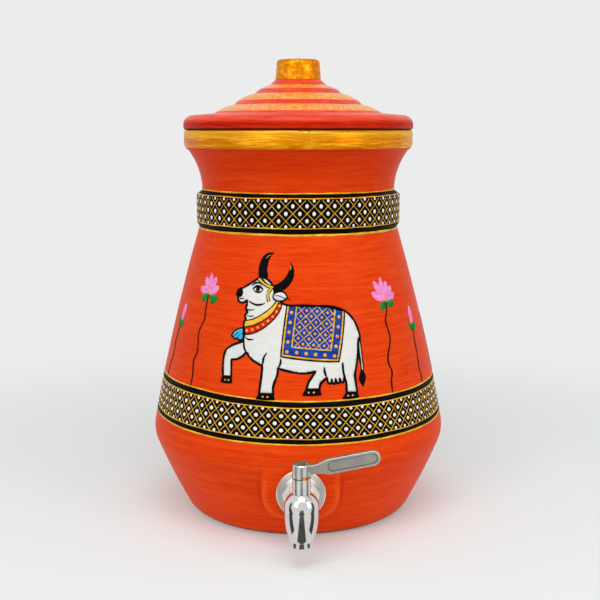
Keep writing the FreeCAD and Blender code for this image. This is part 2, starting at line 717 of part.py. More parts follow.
seat_seal = new_body("seat_seal")
seal_outline = [
    (ZERO, size.port_radius),
    (ZERO, size.seat_seal_radius - size.ring_squeeze),
    (seat_seal_end - size.ring_squeeze, size.seat_seal_radius - size.ring_squeeze),
    (seat_seal_end - size.ring_squeeze, size.port_radius),
]
turned(seat_seal, "Revolution", "sleeve", seal_outline, "YZ_Plane", "H_Axis")
saddle_sketch = new_sketch(seat_seal, "XY_Plane", "saddle_outline")
draw_circle(saddle_sketch, ZERO, ZERO, size.plug_bore)
pushed(seat_seal, "Pocket", "saddle", saddle_sketch, size.seat_seal_radius * 4, both=True)
put_on_tap(seat_seal)

# Lever: a cap on the plug's square, and a paddle that climbs away from it

cap_foot = size.bonnet_top + size.end_play
well_low = size.stem_rise + size.drive_length + size.drive_gap + size.cap_web
half_paddle = size.paddle_width / 2
half_throat = size.throat_width / 2
paddle_end = size.paddle_reach - half_paddle

cap_outline = [
    (ZERO, ZERO),
    (size.cap_radius, ZERO),
    (size.cap_radius, size.cap_height - size.cap_bevel),
    (size.cap_radius - size.cap_bevel, size.cap_height),
    (ZERO, size.cap_height),
]
paddle_outline = [
    (ZERO, half_throat),
    (ZERO, -half_throat),
    (size.throat_end, -half_throat),
    (size.paddle_start, -half_paddle),
    (paddle_end, -half_paddle),
    (paddle_end, half_paddle, half_paddle * 1.0001, "right"),
    (size.paddle_start, half_paddle),
    (size.throat_end, half_throat),
]
cap_hollow = [
    (ZERO, ZERO),
    (size.bonnet_bore, ZERO),
    (size.bonnet_bore, size.stem_rise + size.end_play),
    (size.screw_radius + size.thread_gap, size.stem_rise + size.end_play),
    (size.screw_radius + size.thread_gap, well_low),
    (size.well_radius, well_low),
    (size.well_radius, size.cap_height),
    (ZERO, size.cap_height),
]
half_panel = half_paddle - size.panel_border
panel_end = paddle_end
panel_outline = [
    (size.panel_start + half_panel, half_panel),
    (size.panel_start + half_panel, -half_panel, half_panel * 1.0001, "right"),
    (panel_end, -half_panel),
    (panel_end, half_panel, half_panel * 1.0001, "right"),
]
notch_start = stop_direction - size.pin_play
notch_end = stop_direction + size.lever_travel + size.pin_play
notch_outer = size.cap_radius + 1


def on_circle(radius, angle):
    return radius * cosine(angle), radius * sine(angle)


notch_outline = [
    on_circle(size.notch_radius, notch_start),
    on_circle(notch_outer, notch_start),
    (*on_circle(notch_outer, notch_end), notch_outer, "right"),
    on_circle(size.notch_radius, notch_end),
]
notch_outline[0] = (*notch_outline[0], size.notch_radius, "left")

lever = new_body("lever")
turned(lever, "Revolution", "cap", cap_outline)
paddle_sketch = new_sketch(
    lever, "XZ_Plane", "paddle_outline", up=size.paddle_rise, tilt=size.paddle_tilt
)
draw_outline(paddle_sketch, paddle_outline)
pushed(lever, "Pad", "paddle", paddle_sketch, size.paddle_thickness, both=True)


def is_paddle_edge(edge):
    """Picks the paddle's long edges beyond the cap, on both of its faces."""
    on_face = all(
        abs(abs(vertex.Y) - size.paddle_thickness.value / 2) < 0.001 for vertex in edge.Vertexes
    )
    return on_face and edge.BoundBox.XMax > size.cap_radius.value + 1


rounded(lever, "paddle_edge", size.paddle_edge, is_paddle_edge)
turned(lever, "Groove", "hollow", cap_hollow)
socket_sketch = new_sketch(lever, "XY_Plane", "socket_outline")
half_socket = half_square + size.running_gap
socket = [
    (half_socket, -half_socket),
    (half_socket, half_socket),
    (-half_socket, half_socket),
    (-half_socket, -half_socket),
]
draw_outline(socket_sketch, socket)
pushed(lever, "Pocket", "socket", socket_sketch, well_low - size.cap_web, reverse=True)
notch_sketch = new_sketch(lever, "XY_Plane", "notch_outline")
draw_outline(notch_sketch, notch_outline)
pushed(lever, "Pocket", "notch", notch_sketch, size.notch_height, reverse=True)
panel_sketch = new_sketch(
    lever,
    "XZ_Plane",
    "panel_outline",
    out=size.paddle_thickness / 2,
    up=size.paddle_rise,
    tilt=size.paddle_tilt,
)
draw_outline(panel_sketch, panel_outline)
pushed(lever, "Pocket", "panel", panel_sketch, size.panel_depth)
put_on_tap(lever, up=cap_foot)

# Screw that holds the lever on the square

lever_screw = new_body("lever_screw")
screw_outline = [
    (ZERO, -size.screw_length),
    (size.screw_radius, -size.screw_length),
    (size.screw_radius, ZERO),
    (size.screw_head, ZERO),
    (size.screw_head, size.screw_head_height - size.end_play * 3),
    (size.screw_head - size.end_play * 3, size.screw_head_height),
    (ZERO, size.screw_head_height),
]
turned(lever_screw, "Revolution", "screw", screw_outline)
hex_sketch = new_sketch(lever_screw, "XY_Plane", "hexagon_outline", out=size.screw_head_height)
draw_outline(hex_sketch, hexagon(size.socket_flats))
pushed(lever_screw, "Pocket", "hexagon", hex_sketch, size.socket_depth)
put_on_tap(lever_screw, up=cap_foot + well_low)

# Check and write

PIECES = [
    pot_body,
    lid,
    tap_body,
    outer_seal,
    inner_seal,
    washer,
    lock_nut,
    bonnet,
    stop_pin,
    valve_plug,
    lower_o_ring,
    upper_o_ring,
    seat_seal,
    lever,
    lever_screw,
]
doc.recompute()
for thing in doc.Objects:
    faults = {"Invalid", "Error"} & set(thing.State)
    if faults:
        raise RuntimeError(f"{thing.Label}: {sorted(faults)}")
for piece in PIECES:
    if piece.Shape.isNull() or not piece.Shape.isValid():
        raise RuntimeError(f"{piece.Label}: no valid shape")

os.makedirs("parts", exist_ok=True)
for piece in PIECES:
    piece.Shape.exportStep(f"parts/{piece.Label}.step")
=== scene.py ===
"""The looks of a painted clay water pot with a steel lever tap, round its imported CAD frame.

The pot's decoration is drawn on its unrolled side: u runs round the pot from the front, in mm
of UNROLL to the radian and positive towards +X, and h is the height above the floor in mm.
"""
import math
import bmesh
import bpy
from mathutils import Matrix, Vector, noise
from mathutils.bvhtree import BVHTree
from mathutils.geometry import delaunay_2d_cdt


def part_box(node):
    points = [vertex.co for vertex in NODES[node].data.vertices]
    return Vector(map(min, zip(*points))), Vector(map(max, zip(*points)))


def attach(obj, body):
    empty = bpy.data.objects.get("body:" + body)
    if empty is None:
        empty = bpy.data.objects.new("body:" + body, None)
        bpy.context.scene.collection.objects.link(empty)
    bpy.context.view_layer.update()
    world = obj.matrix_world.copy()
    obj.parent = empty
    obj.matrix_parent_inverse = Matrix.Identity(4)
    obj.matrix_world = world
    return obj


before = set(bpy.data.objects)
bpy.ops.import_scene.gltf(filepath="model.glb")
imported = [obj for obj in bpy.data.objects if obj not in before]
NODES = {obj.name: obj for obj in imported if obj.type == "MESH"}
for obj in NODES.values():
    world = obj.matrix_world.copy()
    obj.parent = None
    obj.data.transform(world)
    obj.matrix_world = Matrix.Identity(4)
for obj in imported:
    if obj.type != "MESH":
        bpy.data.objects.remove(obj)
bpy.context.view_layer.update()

MM = 0.001
UNROLL = 112.0  # mm of drawing for each radian round the pot
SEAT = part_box("pot_body")[1].z / MM  # height where the lid rests on the rim


# Shader maths


def colour(red, green, blue):
    """A colour written as 0 to 255, as a screen shows it."""
    levels = [level / 255 for level in (red, green, blue)]
    linear = [v / 12.92 if v < 0.04045 else ((v + 0.055) / 1.055) ** 2.4 for v in levels]
    return (*linear, 1.0)


class Wire:
    """A socket in a node tree. Arithmetic on it adds Math nodes."""

    def __init__(self, tree, socket=None):
        self.tree = tree
        self.socket = socket

    def node(self, kind, inputs=(), output=0, stops=(), **settings):
        """Adds one node: its settings first, then the values or links of its sockets."""
        node = self.tree.nodes.new("ShaderNode" + kind)
        for name, value in settings.items():
            setattr(node, name, value)
        for place, (position, shade) in enumerate(stops):
            ramp = node.color_ramp.elements
            stop = ramp[place] if place < len(ramp) else ramp.new(position)
            stop.position, stop.color = position, shade
        for name, value in dict(inputs).items():
            if isinstance(value, Wire):
                self.tree.links.new(value.socket, node.inputs[name])
            else:
                node.inputs[name].default_value = value
        return Wire(self.tree, node.outputs[output])

    def maths(self, operation, first, second=0.0):
        return self.node("Math", {0: first, 1: second}, operation=operation)

    def __add__(self, other):
        return self.maths("ADD", self, other)

    __radd__ = __add__

    def __sub__(self, other):
        return self.maths("SUBTRACT", self, other)

    def __rsub__(self, other):
        return self.maths("SUBTRACT", other, self)

    def __mul__(self, other):
        return self.maths("MULTIPLY", self, other)

    __rmul__ = __mul__

    def __truediv__(self, other):
        return self.maths("DIVIDE", self, other)

    def __pow__(self, other):
        return self.maths("POWER", self, other)

    def __abs__(self):
        return self.maths("ABSOLUTE", self)

    def __lt__(self, other):
        return self.maths("LESS_THAN", self, other)

    def most(self, other):
        return self.maths("MAXIMUM", self, other)

    def above(self, edge, soft):
        """0 below the edge and 1 above it, over a soft width on each side."""
        ends = {"Value": self, "From Min": edge - soft, "From Max": edge + soft}
        return self.node("MapRange", ends, interpolation_type="SMOOTHSTEP")

    def between(self, low, high, soft):
        return self.above(low, soft) * (1 - self.above(high, soft))

    def blend(self, first, second):
        """The first colour where this is 0, the second where it is 1."""
        inputs = {0: self, 6: first, 7: second}
        return self.node("Mix", inputs, 2, data_type="RGBA")


class Finish:
    """A material on one Principled shader, with the places that its patterns are made from."""

    def __init__(self, name, **constants):
        self.material = bpy.data.materials.new(name)
        self.material.use_nodes = True
        self.shader = self.material.node_tree.nodes["Principled BSDF"]
        self.start = Wire(self.material.node_tree)
        for socket, value in constants.items():
            self.shader.inputs[socket.replace("_", " ")].default_value = value
        self.point = self.start.node("TexCoord", output="Object")
        self.x, self.y, self.z = self.parts(self.point)

    def parts(self, vector):
        return [vector.node("SeparateXYZ", {0: vector}, axis) for axis in "XYZ"]

    def feed(self, socket, wire):
        wire.tree.links.new(wire.socket, self.shader.inputs[socket])

    def bump(self, height, strength, distance):
        inputs = {"Height": height, "Strength": strength, "Distance": distance}
        self.feed("Normal", height.node("Bump", inputs))

    def stretched(self, across, up):
        """The place scaled by across in X and Y and by up in Z, so that grain runs round."""
        place = {"X": self.x * across, "Y": self.y * across, "Z": self.z * up}
        return self.start.node("CombineXYZ", place)

    def grain(self, place, scale=1.0, detail=3.0):
        inputs = {"Vector": place, "Scale": scale, "Detail": detail}
        return self.start.node("TexNoise", inputs)

    def smears(self):
        """Faint smears of handling on steel."""
        return self.grain(self.point, 90, 3).above(0.55, 0.2)

    def radius(self):
        """Distance from the pot's axis in mm."""
        return (self.x * self.x + self.y * self.y) ** 0.5 / MM

    def facing(self):
        """How much the surface faces away from the pot's axis, and how much it faces up."""
        normal = self.start.node("TexCoord", output="Normal")
        across, along, up = self.parts(normal)
        outwards = (across * self.x + along * self.y) / (self.radius() * MM + 0.0001)
        return outwards, up


# Colours and places of the finishes, the places in mm

RED = colour(238, 66, 4)
RED_DARK = colour(206, 38, 0)
RED_LIGHT = colour(250, 92, 26)
GOLD = colour(227, 136, 0)
GOLD_LIGHT = colour(253, 192, 48)
GOLD_DARK = colour(202, 108, 0)
RAW_CLAY = colour(178, 92, 56)
RAW_CLAY_DARK = colour(140, 66, 38)
HANDLED_STEEL = colour(236, 233, 228)
FOOT_TOP = 30  # the flat clay under the pot lies below this height
NECK_PAINTED_SHADE = 298  # the red of the neck darkens about this height, as painted shade under the rim
GOLD_FOOT = 323.4  # height of the lower edge of the rim's gold
SEAT_HALF, SEAT_CORNER, SEAT_LOW = 32.0, 19.5, 26.0  # the tap's seat: half width, corner and foot
SEAT_TOP = 62  # about this height the seat runs out into the pot
RIM_GAP_SHADE = 1.3  # height of the dark line of painted shade under the lid's rim, above the lid's seat
TREADS = ((57.6, 71.6), (39.8, 52.9), (25.2, 33.4))  # inner and outer radius of the gold treads
TREAD_RISE, KNOB_RISE = 14, 43.4  # the gold treads and the knob lie this far above its seat
LID_BARE = 96  # radius within which the lid's underside is bare
HUB_OUT = 162.0  # the lever's axis in front of the pot's axis
FLANGE_BACK = 17  # the tap's flange begins this far behind the lever's axis
PADDLE_START = 8.0  # distance from the lever's axis where its cap ends and the paddle begins
PADDLE_FRONT = -1.4  # the sunk panel lies in front of this place
PADDLE_RISE, PADDLE_TILT = 78.6, 11.0  # height of the paddle's middle line, and its climb
PANEL_MIDDLE, PANEL_HALF, PANEL_ROUND = 40.25, 15.6, 4.15  # sunk panel, from the lever's axis
PANEL_SHADE = 55.5  # the panel's edge has more painted shade beyond this distance from the lever's axis
CAP_FOOT = 73.4  # height of the foot of the lever's cap
NOTCH_RADIUS, NOTCH_TOP = 5.6, 75.9  # the notch in the foot of the lever's cap


def brush_marks(finish):
    """Marks of a flat brush held against the turning pot: long ones and short fine ones."""
    wide = finish.grain(finish.stretched(14, 260), detail=4)
    fine = finish.grain(finish.stretched(60, 950), detail=3)
    return (wide * 0.45 + fine * 0.55).above(0.5, 0.17)


def gold_tone(finish, marks, mottled):
    """Gold paint that is mottled by that share, and streaked for the rest."""
    mottle = finish.grain(finish.point, 260, 5).above(0.5, 0.22)
    tone = mottle * mottled + marks * (1 - mottled)
    stops = [(0.0, GOLD_DARK), (0.5, GOLD), (1.0, GOLD_LIGHT)]
    return finish.start.node("ValToRGB", {0: tone}, stops=stops)


def raw_clay(finish):
    speckle = finish.grain(finish.point, 700, 4).above(0.5, 0.25)
    return speckle.blend(RAW_CLAY_DARK, RAW_CLAY)


def seat_edge(finish):
    """Distance in mm outside the outline of the tap's seat, and how much the painted highlight and
    shade along it show there.
    """
    side = abs(finish.x) / MM - (SEAT_HALF - SEAT_CORNER)
    down = SEAT_LOW + SEAT_CORNER - finish.z / MM
    away = (side.most(0) ** 2 + down.most(0) ** 2) ** 0.5 - SEAT_CORNER
    shown = (1 - finish.y.above(0, 0.01)) * (1 - (finish.z / MM).above(SEAT_TOP, 14))
    return away, shown


def pot_paint():
    """Red paint brushed round the pot, a gold rim, and bare clay inside and under the foot, with
    painted light and shade at the tap's seat, the neck and the rim's top.
    """
    finish = Finish("pot_paint", Specular_IOR_Level=0.05)
    height = finish.z / MM
    outwards, up = finish.facing()
    marks = brush_marks(finish)
    tone = marks.blend(RED_DARK, RED_LIGHT)
    patch = finish.grain(finish.point, 9, 2).above(0.5, 0.3)
    red = (0.5 + patch * 0.15).blend(tone, RED)
    edge, shown = seat_edge(finish)
    # painted highlight along the rounded ridge of the tap's seat, and painted shade just outside it
    red = (edge.between(-4.5, -0.5, 1.5) * shown * 0.6).blend(red, RED_LIGHT)
    red = (edge.between(0.8, 3.5, 1.5) * shown * 0.45).blend(red, RED_DARK)
    # painted shade on the neck under the rim
    red = (height.above(NECK_PAINTED_SHADE, 16) * 0.35).blend(red, RED_DARK)
    waver = finish.grain(finish.point, 40, 2) * 0.8
    gold_part = height.above(GOLD_FOOT + waver, 0.2)
    under = (up * up).above(0.5, 0.1) * (1 - height.above(FOOT_TOP, 1))
    bare = (outwards < -0.2).most(under)
    # painted highlight along the top of the gold rim
    gold = (height.above(SEAT - 5, 3) * 0.55).blend(gold_tone(finish, marks, 0.15), GOLD_LIGHT)
    painted = gold_part.blend(red, gold)
    finish.feed("Base Color", bare.blend(painted, raw_clay(finish)))
    finish.feed("Metallic", gold_part * 0.55 * (1 - bare))
    finish.feed("Roughness", (0.36 + marks * 0.12 - gold_part * 0.04).most(bare * 0.9))
    finish.bump(marks + bare * finish.grain(finish.point, 500, 4), 0.35, 0.0003)
    return finish.material


def lid_paint():
    """A red rim, darker on its side as painted shade and lighter on its ledge as a painted highlight,
    with a dark line of painted shade at its foot; gold treads between red risers, and a mottled gold
    knob.
    """
    finish = Finish("lid_paint", Specular_IOR_Level=0.06, Coat_Roughness=0.25)
    rise = finish.z / MM - SEAT
    radius = finish.radius()
    up = finish.facing()[1]
    marks = brush_marks(finish)
    mottle = finish.grain(finish.point, 420, 5).above(0.52, 0.2)
    # lit and shaded copies of the rim's red: painted shade on its side, a painted highlight on its
    # upward ledge
    side = marks.blend(colour(170, 16, 0), colour(222, 46, 6))
    lit_ledge = marks.blend(colour(214, 42, 16), colour(244, 80, 48))
    red = up.above(0.35, 0.25).blend(side, lit_ledge)
    # painted shade in the gap where the lid's rim sits on the pot
    red = rise.above(RIM_GAP_SHADE, 0.6).blend(colour(46, 8, 4), red)
    tread = mottle.blend(colour(242, 124, 26), colour(255, 192, 80))
    treads = sum(radius.between(inner, outer, 0.25) for inner, outer in TREADS)
    treads = treads * rise.above(TREAD_RISE, 0.2)
    knob = rise.above(KNOB_RISE, 0.2)
    shade = knob.blend(treads.blend(red, tread), gold_tone(finish, marks, 0.7))
    under = (up < -0.25).most(1 - rise.above(-0.2, 0.1))
    under = under * (1 - radius.above(LID_BARE, 0.2))
    finish.feed("Base Color", under.blend(shade, raw_clay(finish)))
    finish.feed("Metallic", (knob * 0.6).most(treads * 0.4) * (1 - under))
    finish.feed("Roughness", (0.38 + marks * 0.12 - knob * 0.08 - treads * 0.06).most(under * 0.9))
    finish.feed("Coat Weight", up.above(0.5, 0.2) * (1 - knob) * 0.45)
    finish.bump(marks + mottle * knob, 0.3, 0.0003)
    return finish.material


def handled(finish, shade, grain, smears):
    """Feeds the steel's shade, paler where its grain and its smears are strong."""
    finish.feed("Base Color", (smears * 0.5 + grain * 0.3).blend(shade, HANDLED_STEEL))


def steel(name, shade, roughness, across, up, depth):
    """Steel with a fine grain and faint smears of handling."""
    finish = Finish(name, Metallic=1.0)
    grain = finish.grain(finish.stretched(across, up), detail=4)
    smears = finish.smears()
    handled(finish, shade, grain, smears)
    finish.feed("Roughness", roughness * (0.8 + grain * 0.4) + smears * 0.04)
    finish.bump(grain, depth, 0.0001)
    return finish.material


def tap_steel():
    """The tap's body: a bright vase and spout, and a duller flange behind them."""
    finish = Finish("tap_steel", Metallic=1.0)
    grain = finish.grain(finish.stretched(40, 40), detail=4)
    smears = finish.smears()
    flange = (finish.y / MM + HUB_OUT).above(FLANGE_BACK, 2)
    handled(finish, flange.blend(colour(214, 214, 214), colour(238, 235, 224)), grain, smears)
    finish.feed("Roughness", 0.08 + grain * 0.03 + smears * 0.04 + flange * 0.2)
    finish.bump(grain, 0.02, 0.0001)
    return finish.material


def sunk_panel(out, side, high):
    """Masks of the paddle's sunk panel: its floor, and the painted shade along its edge, deeper at its
    far end.
    """
    climb = math.radians(PADDLE_TILT)
    along = out * math.cos(climb) + high * math.sin(climb)
    across = high * math.cos(climb) - out * math.sin(climb)
    past = (abs(along - PANEL_MIDDLE) - PANEL_HALF).most(0)
    panel = (past * past + across * across) ** 0.5
    front = 1 - side.above(PADDLE_FRONT, 0.1)
    inside = (1 - panel.above(PANEL_ROUND, 0.15)) * front
    # painted shade along the panel's edge, and more painted shade at its far end
    edge = panel.between(PANEL_ROUND - 0.55, PANEL_ROUND + 0.15, 0.2) * front
    shadow = panel.between(PANEL_ROUND - 1.3, PANEL_ROUND, 0.4) * front
    return inside, edge.most(shadow * along.above(PANEL_SHADE, 2) * 0.8)


def lever_steel():
    """The lever: a bright cap with painted shade at its foot, a duller paddle with its sunk panel and
    painted shade along its edge, and brass in the notch.
    """
    finish = Finish("lever_steel", Metallic=1.0)
    grain = finish.grain(finish.stretched(60, 1500), detail=4)
    out, side, height = finish.x / MM, finish.y / MM + HUB_OUT, finish.z / MM
    around = (out * out + side * side) ** 0.5
    paddle = around.above(PADDLE_START, 0.6)
    inside, edge = sunk_panel(out, side, height - PADDLE_RISE)
    shade = paddle.blend(colour(210, 207, 200), colour(190, 186, 177))
    shade = (inside * 0.8).blend(shade, colour(156, 152, 144))
    # painted shade along the sunk panel's edge
    shade = (edge * 0.85).blend(shade, colour(66, 64, 60))
    shade = (finish.smears() * 0.25 + grain * 0.2).blend(shade, colour(206, 202, 194))
    # painted shade in the gap between the foot of the cap and the bonnet
    foot = (1 - height.above(CAP_FOOT + 0.7, 0.25)) * (1 - paddle)
    shade = (foot * 0.9).blend(shade, colour(34, 32, 30))
    notch = (1 - around.above(NOTCH_RADIUS, 0.15)) * (1 - height.above(NOTCH_TOP, 0.15))
    finish.feed("Base Color", notch.blend(shade, colour(226, 150, 30)))
    finish.feed("Roughness", 0.26 + paddle * 0.1 + grain * 0.08 + inside * 0.08)
    finish.bump(grain, 0.1, 0.0001)
    return finish.material


def rubber():
    finish = Finish("seal_rubber", Sheen_Weight=0.15)
    grain = finish.grain(finish.point, 900, 4)
    finish.feed("Base Color", grain.blend(colour(120, 30, 22), colour(150, 46, 34)))
    finish.feed("Roughness", 0.6 + grain * 0.2)
    finish.bump(grain, 0.3, 0.0001)
    return finish.material


def gouache(name, shade, other, roughness=0.4, metallic=0.0):
    """Brushed paint that wavers between two shades and stands a little proud."""
    finish = Finish(name, Metallic=metallic, Specular_IOR_Level=0.05)
    marks = finish.grain(finish.stretched(120, 500), detail=4).above(0.5, 0.25)
    finish.feed("Base Color", marks.blend(shade, other))
    finish.feed("Roughness", roughness + marks * 0.12)
    finish.bump(marks, 0.3, 0.0001)
    return finish.material


# Meshes


def turns(sides):
    """The angles that divide a full turn evenly."""
    return [2 * math.pi * side / sides for side in range(sides)]


def skin(mesh, rows):
    """Faces between closed rows of vertices, from each row to the next."""
    for low, high in zip(rows, rows[1:]):
        for side in range(len(low)):
            after = (side + 1) % len(low)
            mesh.faces.new((low[side], low[after], high[after], high[side]))


def placed(name, mesh, material):
    """A new object in the scene, made of that mesh and that material."""
    data = bpy.data.meshes.new(name)
    mesh.to_mesh(data)
    mesh.free()
    data.materials.append(material)
    piece = bpy.data.objects.new(name, data)
    bpy.context.scene.collection.objects.link(piece)
    return piece


# The pot's side as a sheet to draw on


def read_profile(node, low, high, step=0.25, looks=24):
    """Largest radius of the node's outside at each height from low to high, in mm."""
    mesh = NODES[node].data
    points = [vertex.co for vertex in mesh.vertices]
    tree = BVHTree.FromPolygons(points, [face.vertices for face in mesh.polygons])
    radii = []
    for place in range(int((high - low) / step) + 1):
        height = (low + place * step) * MM
        found = []
        for look in range(looks):
            angle = math.pi * (0.5 + look / looks)
            outward = Vector((math.sin(angle), -math.cos(angle), 0))
            hit = tree.ray_cast(outward + Vector((0, 0, height)), -outward)[0]
            found.append(math.hypot(hit.x, hit.y) / MM)
        radii.append(max(found))

    def radius(height):
        place = min(max((height - low) / step, 0), len(radii) - 1.001)
        left = place - int(place)
        return radii[int(place)] * (1 - left) + radii[int(place) + 1] * left

    return radius


pot_radius = read_profile("pot_body", 84, 330)


def on_pot(u, h, lift):
    """The point in space at that place of the drawing, lift mm proud of the clay."""
    slope = (pot_radius(h + 1) - pot_radius(h - 1)) / 2
    tilt = math.atan(slope)
    angle = u / UNROLL
    radius = (pot_radius(h) + lift * math.cos(tilt)) * MM
    rise = (h - lift * math.sin(tilt)) * MM
    return Vector((radius * math.sin(angle), -radius * math.cos(angle), rise))


def drawn(text, closed=False, step=0.9):
    """A smooth path through the places written as "u h"; a * after one makes a corner."""
    stops = []
    for place in text.split(","):
        u, h = place.split()
        stops.append((float(u), float(h.rstrip("*")), h.endswith("*")))
    count = len(stops)
    last = count if closed else count - 1
    path = []
    for place in range(last):
        start, end = stops[place], stops[(place + 1) % count]
        before = start if start[2] or (place == 0 and not closed) else stops[place - 1]
        after = end if end[2] or (place == last - 1 and not closed) else stops[(place + 2) % count]
        pieces = max(2, round(math.hypot(end[0] - start[0], end[1] - start[1]) / step))
        for piece in range(pieces):
            t = piece / pieces
            weights = (
                (-t + 2 * t**2 - t**3) / 2,
                (2 - 5 * t**2 + 3 * t**3) / 2,
                (t + 4 * t**2 - 3 * t**3) / 2,
                (t**3 - t**2) / 2,
            )
            around = (before, start, end, after)
            path.append(tuple(sum(w * p[i] for w, p in zip(weights, around)) for i in (0, 1)))
    if not closed:
        path.append(stops[-1][:2])
    return path


class Paint:
    """One colour of paint on the pot: its strokes, patches and dots make one piece."""

    layer = 0.1  # thickness of a coat of paint in mm
    swell = 0.35  # share by which a brush line swells and thins
    drop = ((1.0, 0.0), (0.86, 0.55), (0.5, 0.9))  # shares of a dot's radius and height
    sink = 0.08  # depth of a dot's foot in the coat under it, in mm

    def __init__(self, name, coat, material, place=on_pot):
        self.name, self.lift, self.material, self.place = name, coat * self.layer, material, place
        self.mesh = bmesh.new()

    def vertex(self, u, h, lift=None):
        return self.mesh.verts.new(self.place(u, h, self.lift if lift is None else lift))

    def patch(self, outline, spacing=3.0):
        """Fills a closed outline, with points inside so that it bends round the pot."""
        points = [Vector(point) for point in outline]
        count = len(points)
        rim = [(i, (i + 1) % count) for i in range(count)]
        low_u, high_u = min(p.x for p in points), max(p.x for p in points)
        low_h, high_h = min(p.y for p in points), max(p.y for p in points)
        for column in range(1, int((high_u - low_u) / spacing) + 1):
            for row in range(1, int((high_h - low_h) / spacing) + 1):
                points.append(Vector((low_u + column * spacing, low_h + row * spacing)))
        flat, _, faces, *_ = delaunay_2d_cdt(points, rim, [list(range(count))], 1, 0.01)
        vertices = {}
        for face in faces:
            for index in face:
                if index not in vertices:
                    vertices[index] = self.vertex(*flat[index])
            self.mesh.faces.new([vertices[index] for index in face])

    def line(self, path, width, tips=0.35, closed=False):
        """A brush line along a path: it swells and thins, and narrows to tips at its ends."""
        pairs = []
        count = len(path)
        for place, (u, h) in enumerate(path):
            before = path[place - 1] if place or closed else path[0]
            after = path[(place + 1) % count] if place < count - 1 or closed else path[-1]
            along = Vector((after[0] - before[0], after[1] - before[1])).normalized()
            side = Vector((-along.y, along.x))
            end = 1.0 if closed else min(place, count - 1 - place) / 4
            half = width / 2 * min(1.0, tips + (1 - tips) * end)
            half *= 1 + self.swell * noise.noise(Vector((u * 0.2, h * 0.2, width * 7)))
            edges = ((u + side.x * reach, h + side.y * reach) for reach in (-half, half))
            pairs.append([self.vertex(*edge) for edge in edges])
        if closed:
            pairs.append(pairs[0])
        for (a, b), (c, d) in zip(pairs, pairs[1:]):
            self.mesh.faces.new((a, c, d, b))

    def ring(self, heights, waver=0.0, sides=240):
        """A band right round the pot, over these heights."""
        rows = []
        for h in heights:
            row = []
            for angle in turns(sides):
                place = Vector((math.sin(angle) * 5, math.cos(angle) * 5, h * 0.7))
                row.append(self.vertex(angle * UNROLL, h + waver * noise.noise(place)))
            rows.append(row)
        skin(self.mesh, rows)

    def dot(self, u, h, radius, dome=0.45, sides=10):
        """A drop of paint with a rounded top, on a coat that lies at this paint's lift."""
        foot = self.lift - self.sink
        rows = []
        for share, rise in self.drop:
            row = []
            for angle in turns(sides):
                place = (u + radius * share * math.cos(angle), h + radius * share * math.sin(angle))
                row.append(self.vertex(*place, foot + dome * rise))
            rows.append(row)
        skin(self.mesh, rows)
        top = self.vertex(u, h, foot + dome)
        for side in range(sides):
            self.mesh.faces.new((rows[-1][side], rows[-1][(side + 1) % sides], top))

    def fill(self, outline):
        """Fills an outline that is written down."""
        self.patch(drawn(outline, closed=True))

    def trace(self, outline, width):
        """A brush line round an outline that is written down."""
        self.line(drawn(outline, closed=True), width, closed=True)

    def stroke(self, path, width, tips=0.35):
        """A brush line along a path that is written down."""
        self.line(drawn(path), width, tips)

    def dry(self, body="pot", slot="painted_clay", thick=True):
        """Makes the piece: a thin layer that sinks a little into what is under it."""
        for face in self.mesh.faces:
            face.normal_update()
            middle = face.calc_center_median()
            if face.normal.x * middle.x + face.normal.y * middle.y < 0:
                face.normal_flip()
        piece = placed(self.name, self.mesh, self.material)
        piece.data.shade_smooth()
        if thick:
            coat = piece.modifiers.new("coat", "SOLIDIFY")
            coat.thickness = (self.lift + self.layer) * MM
            coat.offset = -1
        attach(piece, body)


black = gouache("black_paint", colour(3, 2, 2), colour(12, 10, 10), 0.5)
gold = gouache("gold_paint", colour(226, 146, 10), colour(255, 212, 70), 0.35, 0.2)
white = gouache("white_paint", colour(226, 226, 220), colour(236, 236, 232), 0.5)
chalk = gouache("dot_paint", colour(246, 246, 244), colour(254, 254, 252), 0.5)
blue = gouache("blue_paint", colour(14, 50, 138), colour(34, 82, 172), 0.45)
yellow = gouache("yellow_paint", colour(240, 176, 34), colour(255, 208, 70), 0.4)
scarlet = gouache("scarlet_paint", colour(206, 24, 12), colour(232, 52, 22), 0.4)
sky = gouache("sky_paint", colour(40, 168, 222), colour(84, 204, 244), 0.4)
pink = gouache("pink_paint", colour(250, 128, 204), colour(255, 164, 220), 0.45)
green = gouache("green_paint", colour(22, 122, 38), colour(44, 156, 54), 0.45)
maroon = gouache("stem_paint", colour(26, 6, 4), colour(58, 10, 4), 0.4)
amber = gouache("amber_paint", colour(246, 148, 36), colour(255, 190, 90), 0.35, 0.2)


# Patterned bands, their sizes in mm

FINE_LINE, TOP_LINE = 0.7, 1.2  # gold lines beside the lattice, and along a band's upper edge
LATTICE_LINE = 0.54
LATTICE_STEPS = 8  # pieces of each lattice line on either side of its middle
EDGE_DOT_IN = 0.13  # how far the dots at a lattice's edges lie inside it, as a share of its pitch
EDGE_DOT = 0.76  # their size, as a share of the other dots'
LOWER_FOOT, LOWER_TALL = 91, 34  # the lower band's foot and height
BAND_LOW = 0.9  # the lower band lies this much lower all round
FRONT_LOW, RIGHT_LOW = 1.2, 0.8  # and this much lower still at the front and at the right
RISE, RISE_ANGLE, RISE_GRIP = 1.7, -0.8, 8  # its rise, where that is, and how closely it keeps there
SHAKE_SEED = 5  # the dots' shake would otherwise start from the clock


def spread(low, high, step=1.0):
    """Numbers from low to high, evenly and about a step apart."""
    count = max(1, round((high - low) / step))
    return [low + (high - low) * place / count for place in range(count + 1)]


def lattice_line(start, lean, cell, pitch, middle, reach):
    """A slanting line of the lattice, drawn by a hand that shakes a little."""
    path = []
    for place in range(2 * LATTICE_STEPS + 1):
        b = reach * (place / LATTICE_STEPS - 1)
        shake = 0.12 * noise.noise(Vector((start * 3.1, b * 2, lean)))
        path.append(((start + 0.5 + lean * b + shake / pitch) * cell, middle + b * pitch))
    return path


